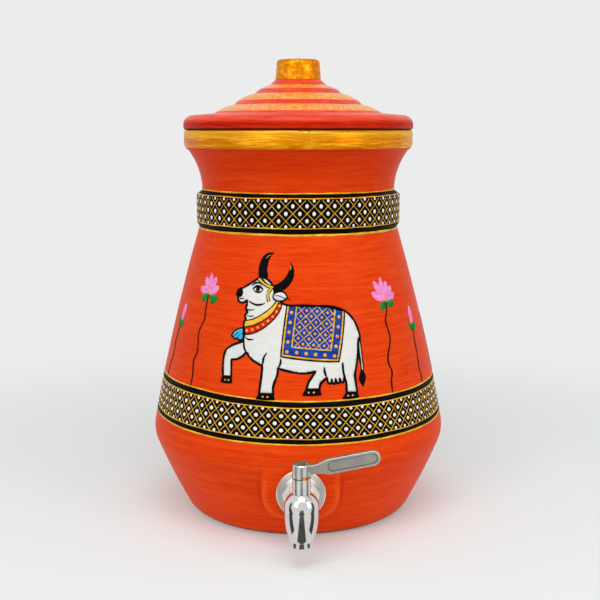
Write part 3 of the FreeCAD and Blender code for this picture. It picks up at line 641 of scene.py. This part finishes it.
def lattice_band(name, low, high, frame_low, frame_high, cells, pitch, foot, dot, corners=(),
                 sheet=on_pot):
    """A black band with gold edges, the lowest as wide as foot, round a lattice with dots.

    Corners are heights where the clay turns sharply, which the black follows closely.
    """
    base = Paint(f"{name}_ground", 1, black, sheet)
    base.ring(sorted(spread(low, high) + [c + d for c in corners for d in (-0.25, 0, 0.25)]))
    base.dry()
    edges = Paint(f"{name}_gold", 2, gold, sheet)
    for h, width in ((low, foot), (frame_low, FINE_LINE), (frame_high, FINE_LINE), (high, TOP_LINE)):
        edges.ring(spread(h - width / 2, h + width / 2, 0.6), waver=0.5)
    middle = (frame_low + frame_high) / 2
    reach = (frame_high - frame_low) / 2 / pitch
    cell = 2 * math.pi * UNROLL / cells
    for start in range(cells):
        for lean in (-1, 1):
            path = lattice_line(start, lean, cell, pitch, middle, reach)
            edges.line(path, LATTICE_LINE, tips=1.0)
    edges.dry()
    dots = Paint(f"{name}_dots", 1, chalk, sheet)
    rows = [(0, 0, dot), (0.5, 0.5, dot), (0.5, -0.5, dot)]
    rows += [(0, side * (reach - EDGE_DOT_IN), dot * EDGE_DOT) for side in (1, -1)]
    for start in range(cells):
        for across, up, size in rows:
            shake = noise.noise_vector(Vector((start * 1.7, up * 9, across))) * 0.3
            u, h = (start + across) * cell + shake.x, middle + up * pitch + shake.y
            dots.dot(u, h, size + shake.z * 0.5)
    dots.dry(thick=False)


def slanting(u, h, lift):
    """A place on the lower band, which the painter's wheel left a little lower at the front."""
    angle = u / UNROLL
    grip = math.exp(RISE_GRIP * (math.cos(angle - RISE_ANGLE) - 1))
    rise = RISE * grip * (h - LOWER_FOOT) / LOWER_TALL
    fall = BAND_LOW + FRONT_LOW * math.cos(angle) + RIGHT_LOW * math.sin(angle)
    return on_pot(u, h - fall + rise, lift)


noise.seed_set(SHAKE_SEED)
lattice_band("lower_band", low=91.3, high=125.3, frame_low=95.8, frame_high=120.1, cells=75,
             pitch=11.0, foot=1.2, dot=1.6, sheet=slanting)
lattice_band("collar_band", low=254.1, high=287.6, frame_low=259.6, frame_high=283.9, cells=49,
             pitch=12.0, foot=1.8, dot=1.85, corners=(255, 258.5, 283, 286.5))


# The cow, drawn in the manner of painted cloth hangings; its widths are in mm

COW_SIDE = (
    "-37 220.5, -42.5 217.5, -48 214.3, -53.5 211.2, -58 209.5, -59.4 206, -57.6 203.2, -57.2 201.2,"
    "-54.8 199.6, -51.5 199.6, -48.4 201.6*, -47.8 198.6, -48.6 195.2, -46.8 192.4, -48.8 189.4,"
    "-47.6 186.6, -49 184, -48.6 176, -47.6 169*, -53 167, -59 164.2, -63.2 160.4, -64.6 154.5,"
    "-64.2 147, -63 139.6*, -55.6 140*, -56.2 146.5, -57 153.6*, -51.6 154.6, -47.4 157.2,"
    "-44.2 160.2, -41.2 156.8, -36.2 153.4, -30.2 150.8*, -30.2 144, -30.8 137, -31.4 128.6*,"
    "-20.6 128.6*, -20.8 134, -19.4 139.6, -17.8 144.6, -17.6 149.4*, -13 148, -7 146.6, 0 145.6,"
    "6 145.8, 11.6 146.8*, 9 143, 6 138.4, 4.4 132.8*, 14.2 132.8*, 15.2 137, 18.4 140.2,"
    "20.4 141.4*, 20.8 138.4, 22.2 136.8, 23.6 138, 24 140.6*, 24.3 138, 25.6 136.4, 26.9 137.8,"
    "27.2 140.6*, 27.6 138, 28.9 136.6, 30.2 138, 30.5 140.8*, 31 138.2, 32.4 137, 33.7 138.4,"
    "34 141*, 35.4 137, 35.2 128.8*,"
    "43.8 128.4*, 43.4 135, 43.2 142, 44.8 148.4, 47 156.4, 48.8 167.2, 51 172, 50.2 177,"
    "48 183.6, 44.4 189, 39.6 193.2, 33.6 195.8, 26 197.6, 17 198.2, 2 198.4, -10 198.8,"
    "-15.4 200.2, -18.6 202.4, -21.6 205, -23.4 209.4, -24.6 213.4, -28 217.4, -32.6 219.8"
)
EAR = (
    "-24 206.8, -20.6 209, -16 209.4, -12.8 207.6, -11.4 204.6*, -15 202.4, -19.4 202, -23.4 203.6"
)
HORNS = (
    "-38.6 220.4, -39.8 226, -39.2 231.4, -36.6 236.6, -32 239.8, -25.6 240.2*, -29.4 236, -31 231,"
    "-31.4 226, -30.4 220.4",
    "-24.4 213.8, -20 216, -15.2 219.2, -11.6 223.6, -9.8 228, -9.2 232.6*, -6.4 229, -5.6 223.6,"
    "-7.6 217.8, -11.8 213, -17 209.8, -22.4 208.6",
)
COLLAR_EDGES = (
    "-48.8 185.2, -40.6 187.2, -32.4 191.6, -25.6 196.8, -21 201.8",
    "-48.6 180, -39.6 182.2, -30.8 186.8, -23.4 193, -18.6 201",
    "-48.2 174, -39.8 175.8, -31.2 180.2, -23 187.2, -17.8 194.2, -15.8 200",
)
TASSEL = (
    "-48.2 179, -52.2 179, -57 176.4, -59.6 172.4*, -57.6 171.6, -56.2 170, -54 171, -52 169.5,"
    "-49 170.4, -47.4 174.4"
)
TAIL = "49 170.4, 51 171.4*, 51 163, 51 154, 51.2 145.2, 49.4 145, 49.2 152, 49 161"
TUFT = "49.6 146.2, 52.4 140.6, 51.2 136, 49.2 132.2*, 46.6 137, 47 141.6"
HOOVES = (
    "-64 139.8*, -55.2 140.2*, -54.6 137.6, -54 134.9*, -59.4 134.2, -64.9 134.7*, -64.4 137.4",
    "-31.8 129*, -20.4 129*, -19.6 126.8, -19.2 124.2*, -26.6 123.7, -34 124.2*, -32.8 126.6",
    "3.6 133.3*, 14.4 133.2*, 15.2 131, 15.6 128*, 8.4 127.6, 0.8 128*, 2.2 130.6",
    "34.6 129.3*, 43.8 129*, 44.6 126.8, 45 124.2*, 38 123.6, 31.2 124.2*, 33 126.8",
)
HOOF_DOTS = (
    (-60.6, 136.8), (-57.6, 137), (-28.4, 126.4), (-24.8, 126.4),
    (6, 130.4), (9.8, 130.4), (36.2, 126.4), (39.8, 126.4),
)
FOLD_WIDTH = 1.45
FOLDS = (  # path of each inner line, and its share of that width
    ("-46.6 201.2, -43 199.4, -38.4 198.4, -33.8 199, -31.2 200.2", 1.0),
    ("-46.8 194.6, -44 194, -40.4 194.6", 0.8),
    ("-46.8 189.6, -43.8 189, -40.6 189.8", 0.8),
    ("-47 173, -44 170.8, -38.8 171", 0.8),
    ("-48 175, -47.4 168.4, -46.6 164, -44 159.6", 1.1),
    ("-27 161.2, -29.2 157.4, -29.8 153.6, -30.2 149.8", 1.2),
    ("-15.6 157, -15.8 153, -17.8 148.6", 1.2),
    ("18.6 150.2, 18.8 146, 20.4 141.2", 1.1),
    ("33.8 153, 33.6 147, 34.4 141, 35.4 136.4", 1.2),
    ("-57.4 203.4, -54 202.4, -51.2 203.4", 0.8),
    ("-45.2 213.4, -42 215.5, -38 215.9, -34.4 214.2", 1.0),
    ("-43.8 210.6, -41 212.9, -37.2 213, -33.6 210.6", 1.4),
    ("-43.2 210.4, -41 208.9, -38.4 208.4, -36 208.9, -34 210.5", 0.9),
    ("48.6 170, 49.2 165, 48.4 158, 48.8 150", 0.6),
)
HEADBAND = (
    "-39 219.2, -34.2 215.8, -29.4 213.6, -24.6 212.6",
    "-26 212.2, -28.4 209, -29 205.2, -27.8 201.4",
)
HORN_LIGHTS = (  # path and width of the yellow stroke on each horn
    ("-28.4 238.6, -31.8 236.8, -33.4 235.2", 0.6),
    ("-9 230.8, -8.8 228.8, -9.4 226.4", 1.1),
)
EAR_LINES = ("-23 206.2, -18.6 206, -14.4 204.6, -11.2 204.4", "-11.4 204.6, -9.6 203.6, -8.6 203")
TASSEL_LINES = ("-51.4 176.6, -55 174.2, -57.2 171.8", "-49.6 175, -52.2 173.4, -54 171.2")
POLL = "-36 219.8*, -32.4 219.2, -28 216.6, -25.4 213.8*, -29.6 215, -33.2 217.4"
PUPIL = (-38.8, 210.9, 1.9, 1.7)  # its place, and half its width and height
GARLAND_BEADS = 8
NOSE = "-59 209.4, -56 210.4, -53.6 209, -53.4 205.8, -55 203.8, -58 204.2, -59.4 206.6"


def along(path, count):
    """Places that divide a path evenly, half a space from each end."""
    steps = [math.dist(a, b) for a, b in zip(path, path[1:])]
    total = sum(steps)
    places = []
    for number in range(count):
        left = total * (number + 0.5) / count
        for start, end, step in zip(path, path[1:], steps):
            if left <= step:
                places.append(tuple(a + (b - a) * left / step for a, b in zip(start, end)))
                break
            left -= step
    return places


def paint_hide():
    """The cow's white body, and its ear over that."""
    body = Paint("cow_body", 1, white)
    body.fill(COW_SIDE)
    body.fill(TAIL)
    body.dry()
    ear = Paint("cow_ear", 5, white)
    ear.fill(EAR)
    ear.dry()
    ear_lines = Paint("cow_ear_lines", 6, black)
    ear_lines.trace(EAR, 1.2)
    for path in EAR_LINES:
        ear_lines.stroke(path, 0.8)
    ear_lines.dry()


def paint_dark_parts():
    """The black of the cow, all but its ear's: outlines, folds, horns, hooves, eye and nose."""
    dark = Paint("cow_lines", 4, black)
    for outline, width in ((COW_SIDE, 1.7), (TAIL, 0.9), (TASSEL, 1.3)):
        dark.trace(outline, width)
    for path in TASSEL_LINES:
        dark.stroke(path, 0.7)
    for path, share in FOLDS:
        dark.stroke(path, share * FOLD_WIDTH)
    for outline in (*HORNS, *HOOVES, TUFT, NOSE):
        dark.fill(outline)
    for edge in COLLAR_EDGES:
        dark.stroke(edge, 0.9, tips=1.0)
    u, h, wide, tall = PUPIL
    dark.patch([(u + wide * math.cos(turn / 2), h + tall * math.sin(turn / 2)) for turn in range(12)])
    dark.trace(POLL, 0.7)
    for path in HEADBAND:
        dark.stroke(path, 2.9, tips=1.0)
    dark.dry()


def paint_headband():
    band = Paint("cow_headband", 5, yellow)
    for path in HEADBAND:
        band.stroke(path, 1.6, tips=0.9)
    for path, width in HORN_LIGHTS:
        band.stroke(path, width)
    band.dry()


def paint_collar():
    """A yellow collar, a red garland with beads under it, and the beads on the hooves."""
    upper, middle, lower = (drawn(edge) for edge in COLLAR_EDGES)
    strips = (("cow_collar", yellow, upper, middle), ("cow_garland", scarlet, middle, lower))
    for name, tone, first, second in strips:
        strip = Paint(name, 3, tone)
        strip.patch(first + second[::-1])
        strip.dry()
    beads = Paint("cow_beads", 3, amber)
    for pair in zip(along(middle, GARLAND_BEADS), along(lower, GARLAND_BEADS)):
        beads.dot(*((a + b) / 2 for a, b in zip(*pair)), 1.25)
    for u, h in HOOF_DOTS:
        beads.dot(u, h, 0.85, dome=0.8)
    beads.dry(thick=False)


def paint_tassel():
    tassel = Paint("cow_tassel", 3, sky)
    tassel.fill(TASSEL)
    tassel.dry()


# The cloth on the cow's back, in its own square from 0 to 1 across and down

CLOTH = ((-11.6, 198.6), (39.2, 193.2), (30.6, 153.6), (-15.6, 158.4))
CLOTH_WIDE, CLOTH_TALL = 46, 40  # in mm
HEM = ((0.022, 0.01), (0.022, 0.972), (0.978, 0.972), (0.978, 0.01))
PANEL = (0.17, 0.0, 0.83, 0.79)  # inner panel: left, top, right and bottom
TRELLIS = 8.2  # pitch of the crossed lines in the panel, in mm
STUD_RIM = 1  # least distance of the panel's studs from its edges, in mm


def on_cloth(across, down):
    """Place in the drawing of a place on the cloth; its sides bulge a little."""
    left = [a + (b - a) * down for a, b in zip(CLOTH[0], CLOTH[3])]
    right = [a + (b - a) * down for a, b in zip(CLOTH[1], CLOTH[2])]
    u, h = (a + (b - a) * across for a, b in zip(left, right))
    crown = math.sin(math.pi * across) * (2.6 * (1 - down) - 0.5 * down)
    return u + 1.1 * math.sin(math.pi * down) * (across - 0.4), h + crown


def cloth_line(*stops):
    """A path on the cloth through its places, straight between them."""
    path = []
    for start, end in zip(stops, stops[1:]):
        path += [on_cloth(*(a + (b - a) * t / 12 for a, b in zip(start, end))) for t in range(12)]
    return path + [on_cloth(*stops[-1])]


def cloth_outline():
    return cloth_line((0, 0), (1, 0), (1, 1), (0, 1), (0, 0))[:-1]


def clipped(shift, lean, wide, tall):
    """The two ends of the slanting line a - lean * b = shift inside a wide by tall square."""
    sides = ((shift, 0), (shift + lean * tall, tall))
    ends = []
    for a, b in (*sides, (0, -shift * lean), (wide, (wide - shift) * lean)):
        inside = -0.01 <= a <= wide + 0.01 and -0.01 <= b <= tall + 0.01
        if inside and all(math.dist((a, b), end) > 0.5 for end in ends):
            ends.append((a, b))
    return ends


def paint_trellis(lines, studs):
    """Crossed lines over the cloth's panel, with a stud in each gap."""
    left, top, right, bottom = PANEL
    wide, tall = CLOTH_WIDE * (right - left), CLOTH_TALL * (bottom - top)

    def in_panel(a, b):
        return left + (right - left) * a / wide, top + (bottom - top) * b / tall

    most = int((wide + tall) / TRELLIS) + 1
    for number in range(-most, most + 1):
        for lean in (-1, 1):
            ends = clipped(number * TRELLIS, lean, wide, tall)
            if len(ends) == 2:
                lines.line(cloth_line(*(in_panel(*end) for end in ends)), 0.6, tips=1.0)
    half = TRELLIS / 2
    for row in range(1, int(tall / half) + 1):
        for column in range(int(wide / half) + 1):
            a, b = column * half, row * half
            inside = STUD_RIM < a < wide - STUD_RIM and b < tall - STUD_RIM
            if (row + column) % 2 and inside:
                studs.dot(*on_cloth(*in_panel(a, b)), 1.2, 0.7)


def border_studs():
    """Places of the studs in the border: five down each side, and four along the foot."""
    places = []
    for number in range(5):
        places += [(across, 0.14 + 0.188 * number) for across in (0.095, 0.905)]
    return places + [(0.26 + 0.16 * number, 0.885) for number in range(4)]


def paint_cloth():
    ground = Paint("cloth_ground", 2, blue)
    ground.patch(cloth_outline())
    ground.dry()
    edge = Paint("cloth_edge", 4, black)
    edge.line(cloth_outline(), 1.1, closed=True)
    edge.dry()
    lines = Paint("cloth_lines", 3, gold)
    studs = Paint("cloth_studs", 2, amber)
    left, top, right, bottom = PANEL
    lines.line(cloth_line(*HEM), 1.5, tips=1.0)
    panel_edge = cloth_line((left, top), (left, bottom), (right, bottom), (right, top))
    lines.line(panel_edge, 1.0, tips=1.0)
    paint_trellis(lines, studs)
    for place in border_studs():
        studs.dot(*on_cloth(*place), 1.55, 0.9)
    lines.dry()
    studs.dry(thick=False)


# Lotuses on long stems, their sizes in mm

HALF_PETAL = ((0.2, 0), (0.42, 0.35), (0.5, 0.6), (0.36, 0.86))  # shares of width and length
OPEN, BUD = "open", "bud"
KINDS = (  # of each kind of flower: the lean and length of its petals, and its two leaves
    (
        ((-73, 15.6), (58, 13.8), (-35, 16.8), (23, 16.2), (-6, 17.6)),
        (
            "0.3 0.6, -5 0.2, -8.9 -1.6, -9 -5.3, -5.4 -7.2, -2.6 -4.5, 0 -1.5",
            "0.6 -0.6, 5.8 -0.4, 12.8 -0.9, 11.2 -4.9, 6.4 -7.5, 3 -4.5",
        ),
    ),
    (
        ((-62, 17.2), (71, 15.8), (-32, 20.6), (46, 16.6), (20, 17.4), (-4, 19.8)),
        (
            "0.4 0.6, -4 -0.4, -9 -4.6, -4.4 -6.6, -0.8 -6.2, 0 -2.2",
            "0.6 -0.6, 5 -0.2, 10.6 0.6, 11 -2.6, 9 -5.6, 5.1 -5.8, 2.6 -4",
        ),
    ),
)
STEMS = (  # beside the cow: the stem's path, its flower, and the flower's kind or the bud's lean
    ("-93 202.6, -93.8 196.6, -93.4 189, -92.8 181.6, -96.2 174.4, -97.2 169, -95.6 162, -94.6 156,"
     "-95.8 151.4, -97.4 147, -96.6 141, -95.6 134.6, -96.4 125.4", OPEN, 0),
    ("84.6 197.4, 84.6 190.5, 80.6 181.7, 82.3 172.8, 82.3 165.5, 77 153.6, 76.6 147, 78.8 140.4,"
     "76.6 132.2, 76.4 123.4", OPEN, 1),
    ("-134.4 173.4, -135.6 166, -137.3 158.3, -136.4 151.5, -136 143.9, -139 136.3, -139.8 130.3,"
     "-140.6 124.8", BUD, 14.0),
    ("121 171.4, 120.6 165.7, 119 161.2, 119 153.7, 118.6 146.2, 117.6 137.1, 118.8 128.1,"
     "117.6 123.2", BUD, 4.0),
)
BACK_PLANTS = 7
BACK_FIRST, BACK_LAST = 166, 188  # from the front to the first, and from the last to the front
OPEN_TOP, BUD_TOP, STEM_FOOT = 199, 174, 125.5  # heights of their stems' ends


def petal(base, lean, length, width):
    """A petal from its base, leaning by an angle in degrees to the right, with a blunt point."""
    turn = math.radians(lean)
    up, side = (math.sin(turn), math.cos(turn)), (math.cos(turn), -math.sin(turn))
    left = [(-across, rise) for across, rise in HALF_PETAL]
    outline = []
    for across, rise in (*left, (0, 1.0), *HALF_PETAL[::-1]):
        outline.append([base[i] + side[i] * across * width + up[i] * rise * length for i in (0, 1)])
    text = ",".join(f"{u:.3f} {h:.3f}" for u, h in outline)
    return drawn(text, closed=True, step=0.6)


def shifted(text, base):
    """The outline that the text gives round its own start, moved to the base."""
    places = [[float(number) for number in place.split()] for place in text.split(",")]
    moved = ",".join(f"{base[0] + u:.2f} {base[1] + h:.2f}" for u, h in places)
    return drawn(moved, closed=True, step=0.6)


def flower(petals, leaves, hearts, base, kind):
    """An open lotus of that kind, seen from its side."""
    spread_petals, outlines = KINDS[kind]
    for lean, length in spread_petals:
        petals.patch(petal(base, lean, length, 6.3))
    for outline in outlines:
        leaves.patch(shifted(outline, base))
    hearts.patch(petal(base, -14, 4.4, 1.8))
    hearts.patch(petal(base, 12, 3.4, 1.6))


def bud(petals, leaves, base, lean):
    """A closed lotus in its green cup."""
    petals.patch(petal(base, lean, 17.6, 7.5))
    for turn in (-52, 48):
        leaves.patch(petal((base[0], base[1] - 2.8), lean + turn, 9.2, 5.6))
    leaves.patch(petal((base[0], base[1] - 3), lean, 6, 5.6))


def back_plants():
    """Plants of the same kinds round the back of the pot, buds and open flowers by turns."""
    plants = []
    last = 2 * math.pi * UNROLL - BACK_LAST
    for number in range(BACK_PLANTS):
        u = BACK_FIRST + (last - BACK_FIRST) * number / (BACK_PLANTS - 1)
        pair = number // 2
        if number % 2:
            top, flower_kind = OPEN_TOP, (OPEN, pair % 2)
        else:
            top, flower_kind = BUD_TOP, (BUD, 6.0 * (-1) ** pair)
        stops = []
        for h in range(top, 120, -10):
            sway = u + 2.6 * noise.noise(Vector((number * 4.3, h * 0.05, 0)))
            stops.append(f"{sway:.2f} {h}")
        stops.append(f"{sway:.2f} {STEM_FOOT}")
        plants.append((",".join(stops), *flower_kind))
    return plants


def paint_lotuses():
    petals = Paint("lotus_petals", 1, pink)
    leaves = Paint("lotus_leaves", 2, green)
    hearts = Paint("lotus_hearts", 3, amber)
    stems = Paint("lotus_stems", 3, maroon)
    for text, state, kind in (*STEMS, *back_plants()):
        path = drawn(text)
        stems.line(path, 1.4)
        if state == OPEN:
            flower(petals, leaves, hearts, path[0], kind)
        else:
            bud(petals, leaves, path[0], kind)
    for paint in (petals, leaves, hearts, stems):
        paint.dry()


paint_hide()
paint_dark_parts()
paint_headband()
paint_collar()
paint_tassel()
paint_cloth()
paint_lotuses()


# Finishes of the CAD pieces

polished = steel("polished_steel", colour(214, 211, 204), 0.27, 40, 40, 0.02)
satin = steel("satin_steel", colour(160, 156, 148), 0.3, 60, 1500, 0.12)
brass = gouache("brass", colour(222, 156, 44), colour(248, 196, 88), 0.25, 1.0)
seal = rubber()
FINISHES = {
    "pot_body": pot_paint(),
    "lid": lid_paint(),
    "tap_body": tap_steel(),
    "bonnet": polished,
    "lever": lever_steel(),
    "lever_screw": satin,
    "steel_washer": satin,
    "lock_nut": satin,
    "stop_pin": brass,
    "valve_plug": brass,
    "outer_seal": seal,
    "inner_seal": seal,
    "seat_seal": seal,
    "lower_o_ring": seal,
    "upper_o_ring": seal,
}
for name, material in FINISHES.items():
    NODES[name].data.materials.clear()
    NODES[name].data.materials.append(material)


# Floor, light and camera, in metres and degrees

PHOTO_WIDTH = 600  # the photograph's width and height in its own pixels
PHOTO_FOCAL = 1029  # its focal length in the same pixels
SENSOR = 36.0  # the camera's sensor in mm
CAMERA_AWAY, CAMERA_HEIGHT = 0.925, 0.3392
CAMERA_SIDE = 0.0016  # the place that the camera swings round, beside the pot's axis
CAMERA_SWING, CAMERA_PITCH = 1.0, 9.4
FLOOR_RINGS, FLOOR_SIDES = 18, 96
FLOOR_START, FLOOR_GROWTH = 0.04, 1.25  # first ring's radius, and how the next ones grow
FLOOR_DROP = 0.0002  # gap between the pot's foot and the floor
FLOOR_FADE, FLOOR_SOFT = 0.5, 0.26  # where the floor fades away, and over what width
FLOOR_CLEAR = 0.25  # share of the background that shows through the floor near the pot
FLOOR_COLOUR = (0.905, 0.955, 0.96, 1)
SEEN_LEVEL, LIT_LEVEL = 0.84, 0.5  # the backdrop where it is seen, and where it lights
LAMP_AIM = (0, 0, 0.2)
LAMPS = (  # name, place, width, height and power in watts
    ("key", (-0.9, -1.2, 0.9), 0.5, 1.0, 5.2),
    ("fill", (1.1, -1.0, 0.7), 0.5, 1.0, 4.5),
    ("top", (0, -0.7, 1.5), 1.0, 0.8, 8),
)
CARD_LOW, CARD_HIGH = 0.002, 0.3
CARD_BLACK = (0.01, 0.01, 0.01, 1)
FRONT_CARD = ((-0.13, -0.95), (0.13, -0.95), (0.016, -0.18), (-0.016, -0.18))
SIDE_CARD = ((0.04, -0.168), (0.5, -0.18), (0.5, -0.4), (0.04, -0.195))
WING_FRONT, WING_BACK, WING_SIDE = -0.32, -0.18, 0.5


def floor_paper():
    """Pale paper that keeps a shadow near the pot, and clears far from it."""
    material = bpy.data.materials.new("ground")
    material.use_nodes = True
    tree = material.node_tree
    tree.nodes.clear()
    start = Wire(tree)
    point = start.node("TexCoord", output="Object")
    x, y, _ = (point.node("SeparateXYZ", {0: point}, axis) for axis in "XYZ")
    fade = ((x * x + y * y) ** 0.5).above(FLOOR_FADE, FLOOR_SOFT)
    fade = fade * (1 - FLOOR_CLEAR) + FLOOR_CLEAR
    paper = start.node("BsdfDiffuse", {"Color": FLOOR_COLOUR})
    clear = start.node("BsdfTransparent")
    mixed = start.node("MixShader", {0: fade, 1: paper, 2: clear})
    out = tree.nodes.new("ShaderNodeOutputMaterial")
    tree.links.new(mixed.socket, out.inputs["Surface"])
    return material


def ground():
    """A pale disc that keeps the pot's shadow and fades into the background."""
    disc = bmesh.new()
    rows = []
    for number in range(FLOOR_RINGS):
        radius = FLOOR_START * FLOOR_GROWTH**number
        places = [(radius * math.cos(angle), radius * math.sin(angle)) for angle in turns(FLOOR_SIDES)]
        rows.append([disc.verts.new((x, y, -FLOOR_DROP)) for x, y in places])
    disc.faces.new(rows[0])
    skin(disc, rows[::-1])
    floor = placed("ground", disc, floor_paper())


def lamp(name, place, width, height, power):
    """A soft box that faces the middle of the pot."""
    data = bpy.data.lights.new(name, "AREA")
    data.shape = "RECTANGLE"
    data.size, data.size_y = width, height
    data.energy = power
    soft_box = bpy.data.objects.new(name, data)
    soft_box.location = place
    facing = Vector(LAMP_AIM) - Vector(place)
    soft_box.rotation_euler = facing.to_track_quat("-Z", "Y").to_euler()
    bpy.context.scene.collection.objects.link(soft_box)


def flag(name, corners):
    """A black card that only the steel mirrors, for its dark edges."""
    card = bmesh.new()
    card.faces.new([card.verts.new(corner) for corner in corners])
    material = bpy.data.materials.new(name)
    material.use_nodes = True
    shader = material.node_tree.nodes["Principled BSDF"]
    shader.inputs["Base Color"].default_value = CARD_BLACK
    piece = placed(name, card, material)
    piece.visible_camera = piece.visible_diffuse = piece.visible_shadow = False


def flags():
    """One card in front of the tap, and one flat and one upright on each side of it."""
    flag("front_flag", [(x, y, CARD_LOW) for x, y in FRONT_CARD])
    for side in (-1, 1):
        flag("side_flag", [(side * x, y, CARD_LOW) for x, y in SIDE_CARD])
        back = [(side * WING_SIDE, WING_BACK, z) for z in (CARD_LOW, CARD_HIGH)]
        front = [(side * WING_SIDE, WING_FRONT, z) for z in (CARD_HIGH, CARD_LOW)]
        flag("wing_flag", back + front)


def backdrop():
    """Near-white where it is seen or mirrored, and a plain level where it lights."""
    world = bpy.data.worlds.new("studio")
    bpy.context.scene.world = world
    world.use_nodes = True
    tree = world.node_tree
    start = Wire(tree)
    seen = 0
    for kind in ("Camera", "Glossy", "Transmission"):
        seen = start.node("LightPath", output=f"Is {kind} Ray").most(seen)
    level = seen * SEEN_LEVEL + (1 - seen) * LIT_LEVEL
    background = tree.nodes["Background"]
    background.inputs["Color"].default_value = (1, 1, 1, 1)
    tree.links.new(level.socket, background.inputs["Strength"])


def camera():
    """The photograph's own view."""
    data = bpy.data.cameras.new("camera")
    data.sensor_width = SENSOR
    data.lens = PHOTO_FOCAL / PHOTO_WIDTH * SENSOR
    view = bpy.data.objects.new("camera", data)
    swing, pitch = math.radians(CAMERA_SWING), math.radians(CAMERA_PITCH)
    across, back = CAMERA_AWAY * math.sin(swing), CAMERA_AWAY * math.cos(swing)
    view.location = (CAMERA_SIDE - across, -back, CAMERA_HEIGHT)
    view.rotation_euler = (math.pi / 2 - pitch, 0, -swing)
    bpy.context.scene.collection.objects.link(view)
    bpy.context.scene.camera = view


ground()
backdrop()
for soft_light in LAMPS:
    lamp(*soft_light)
flags()
camera()
bpy.context.scene.view_settings.view_transform = "Standard"
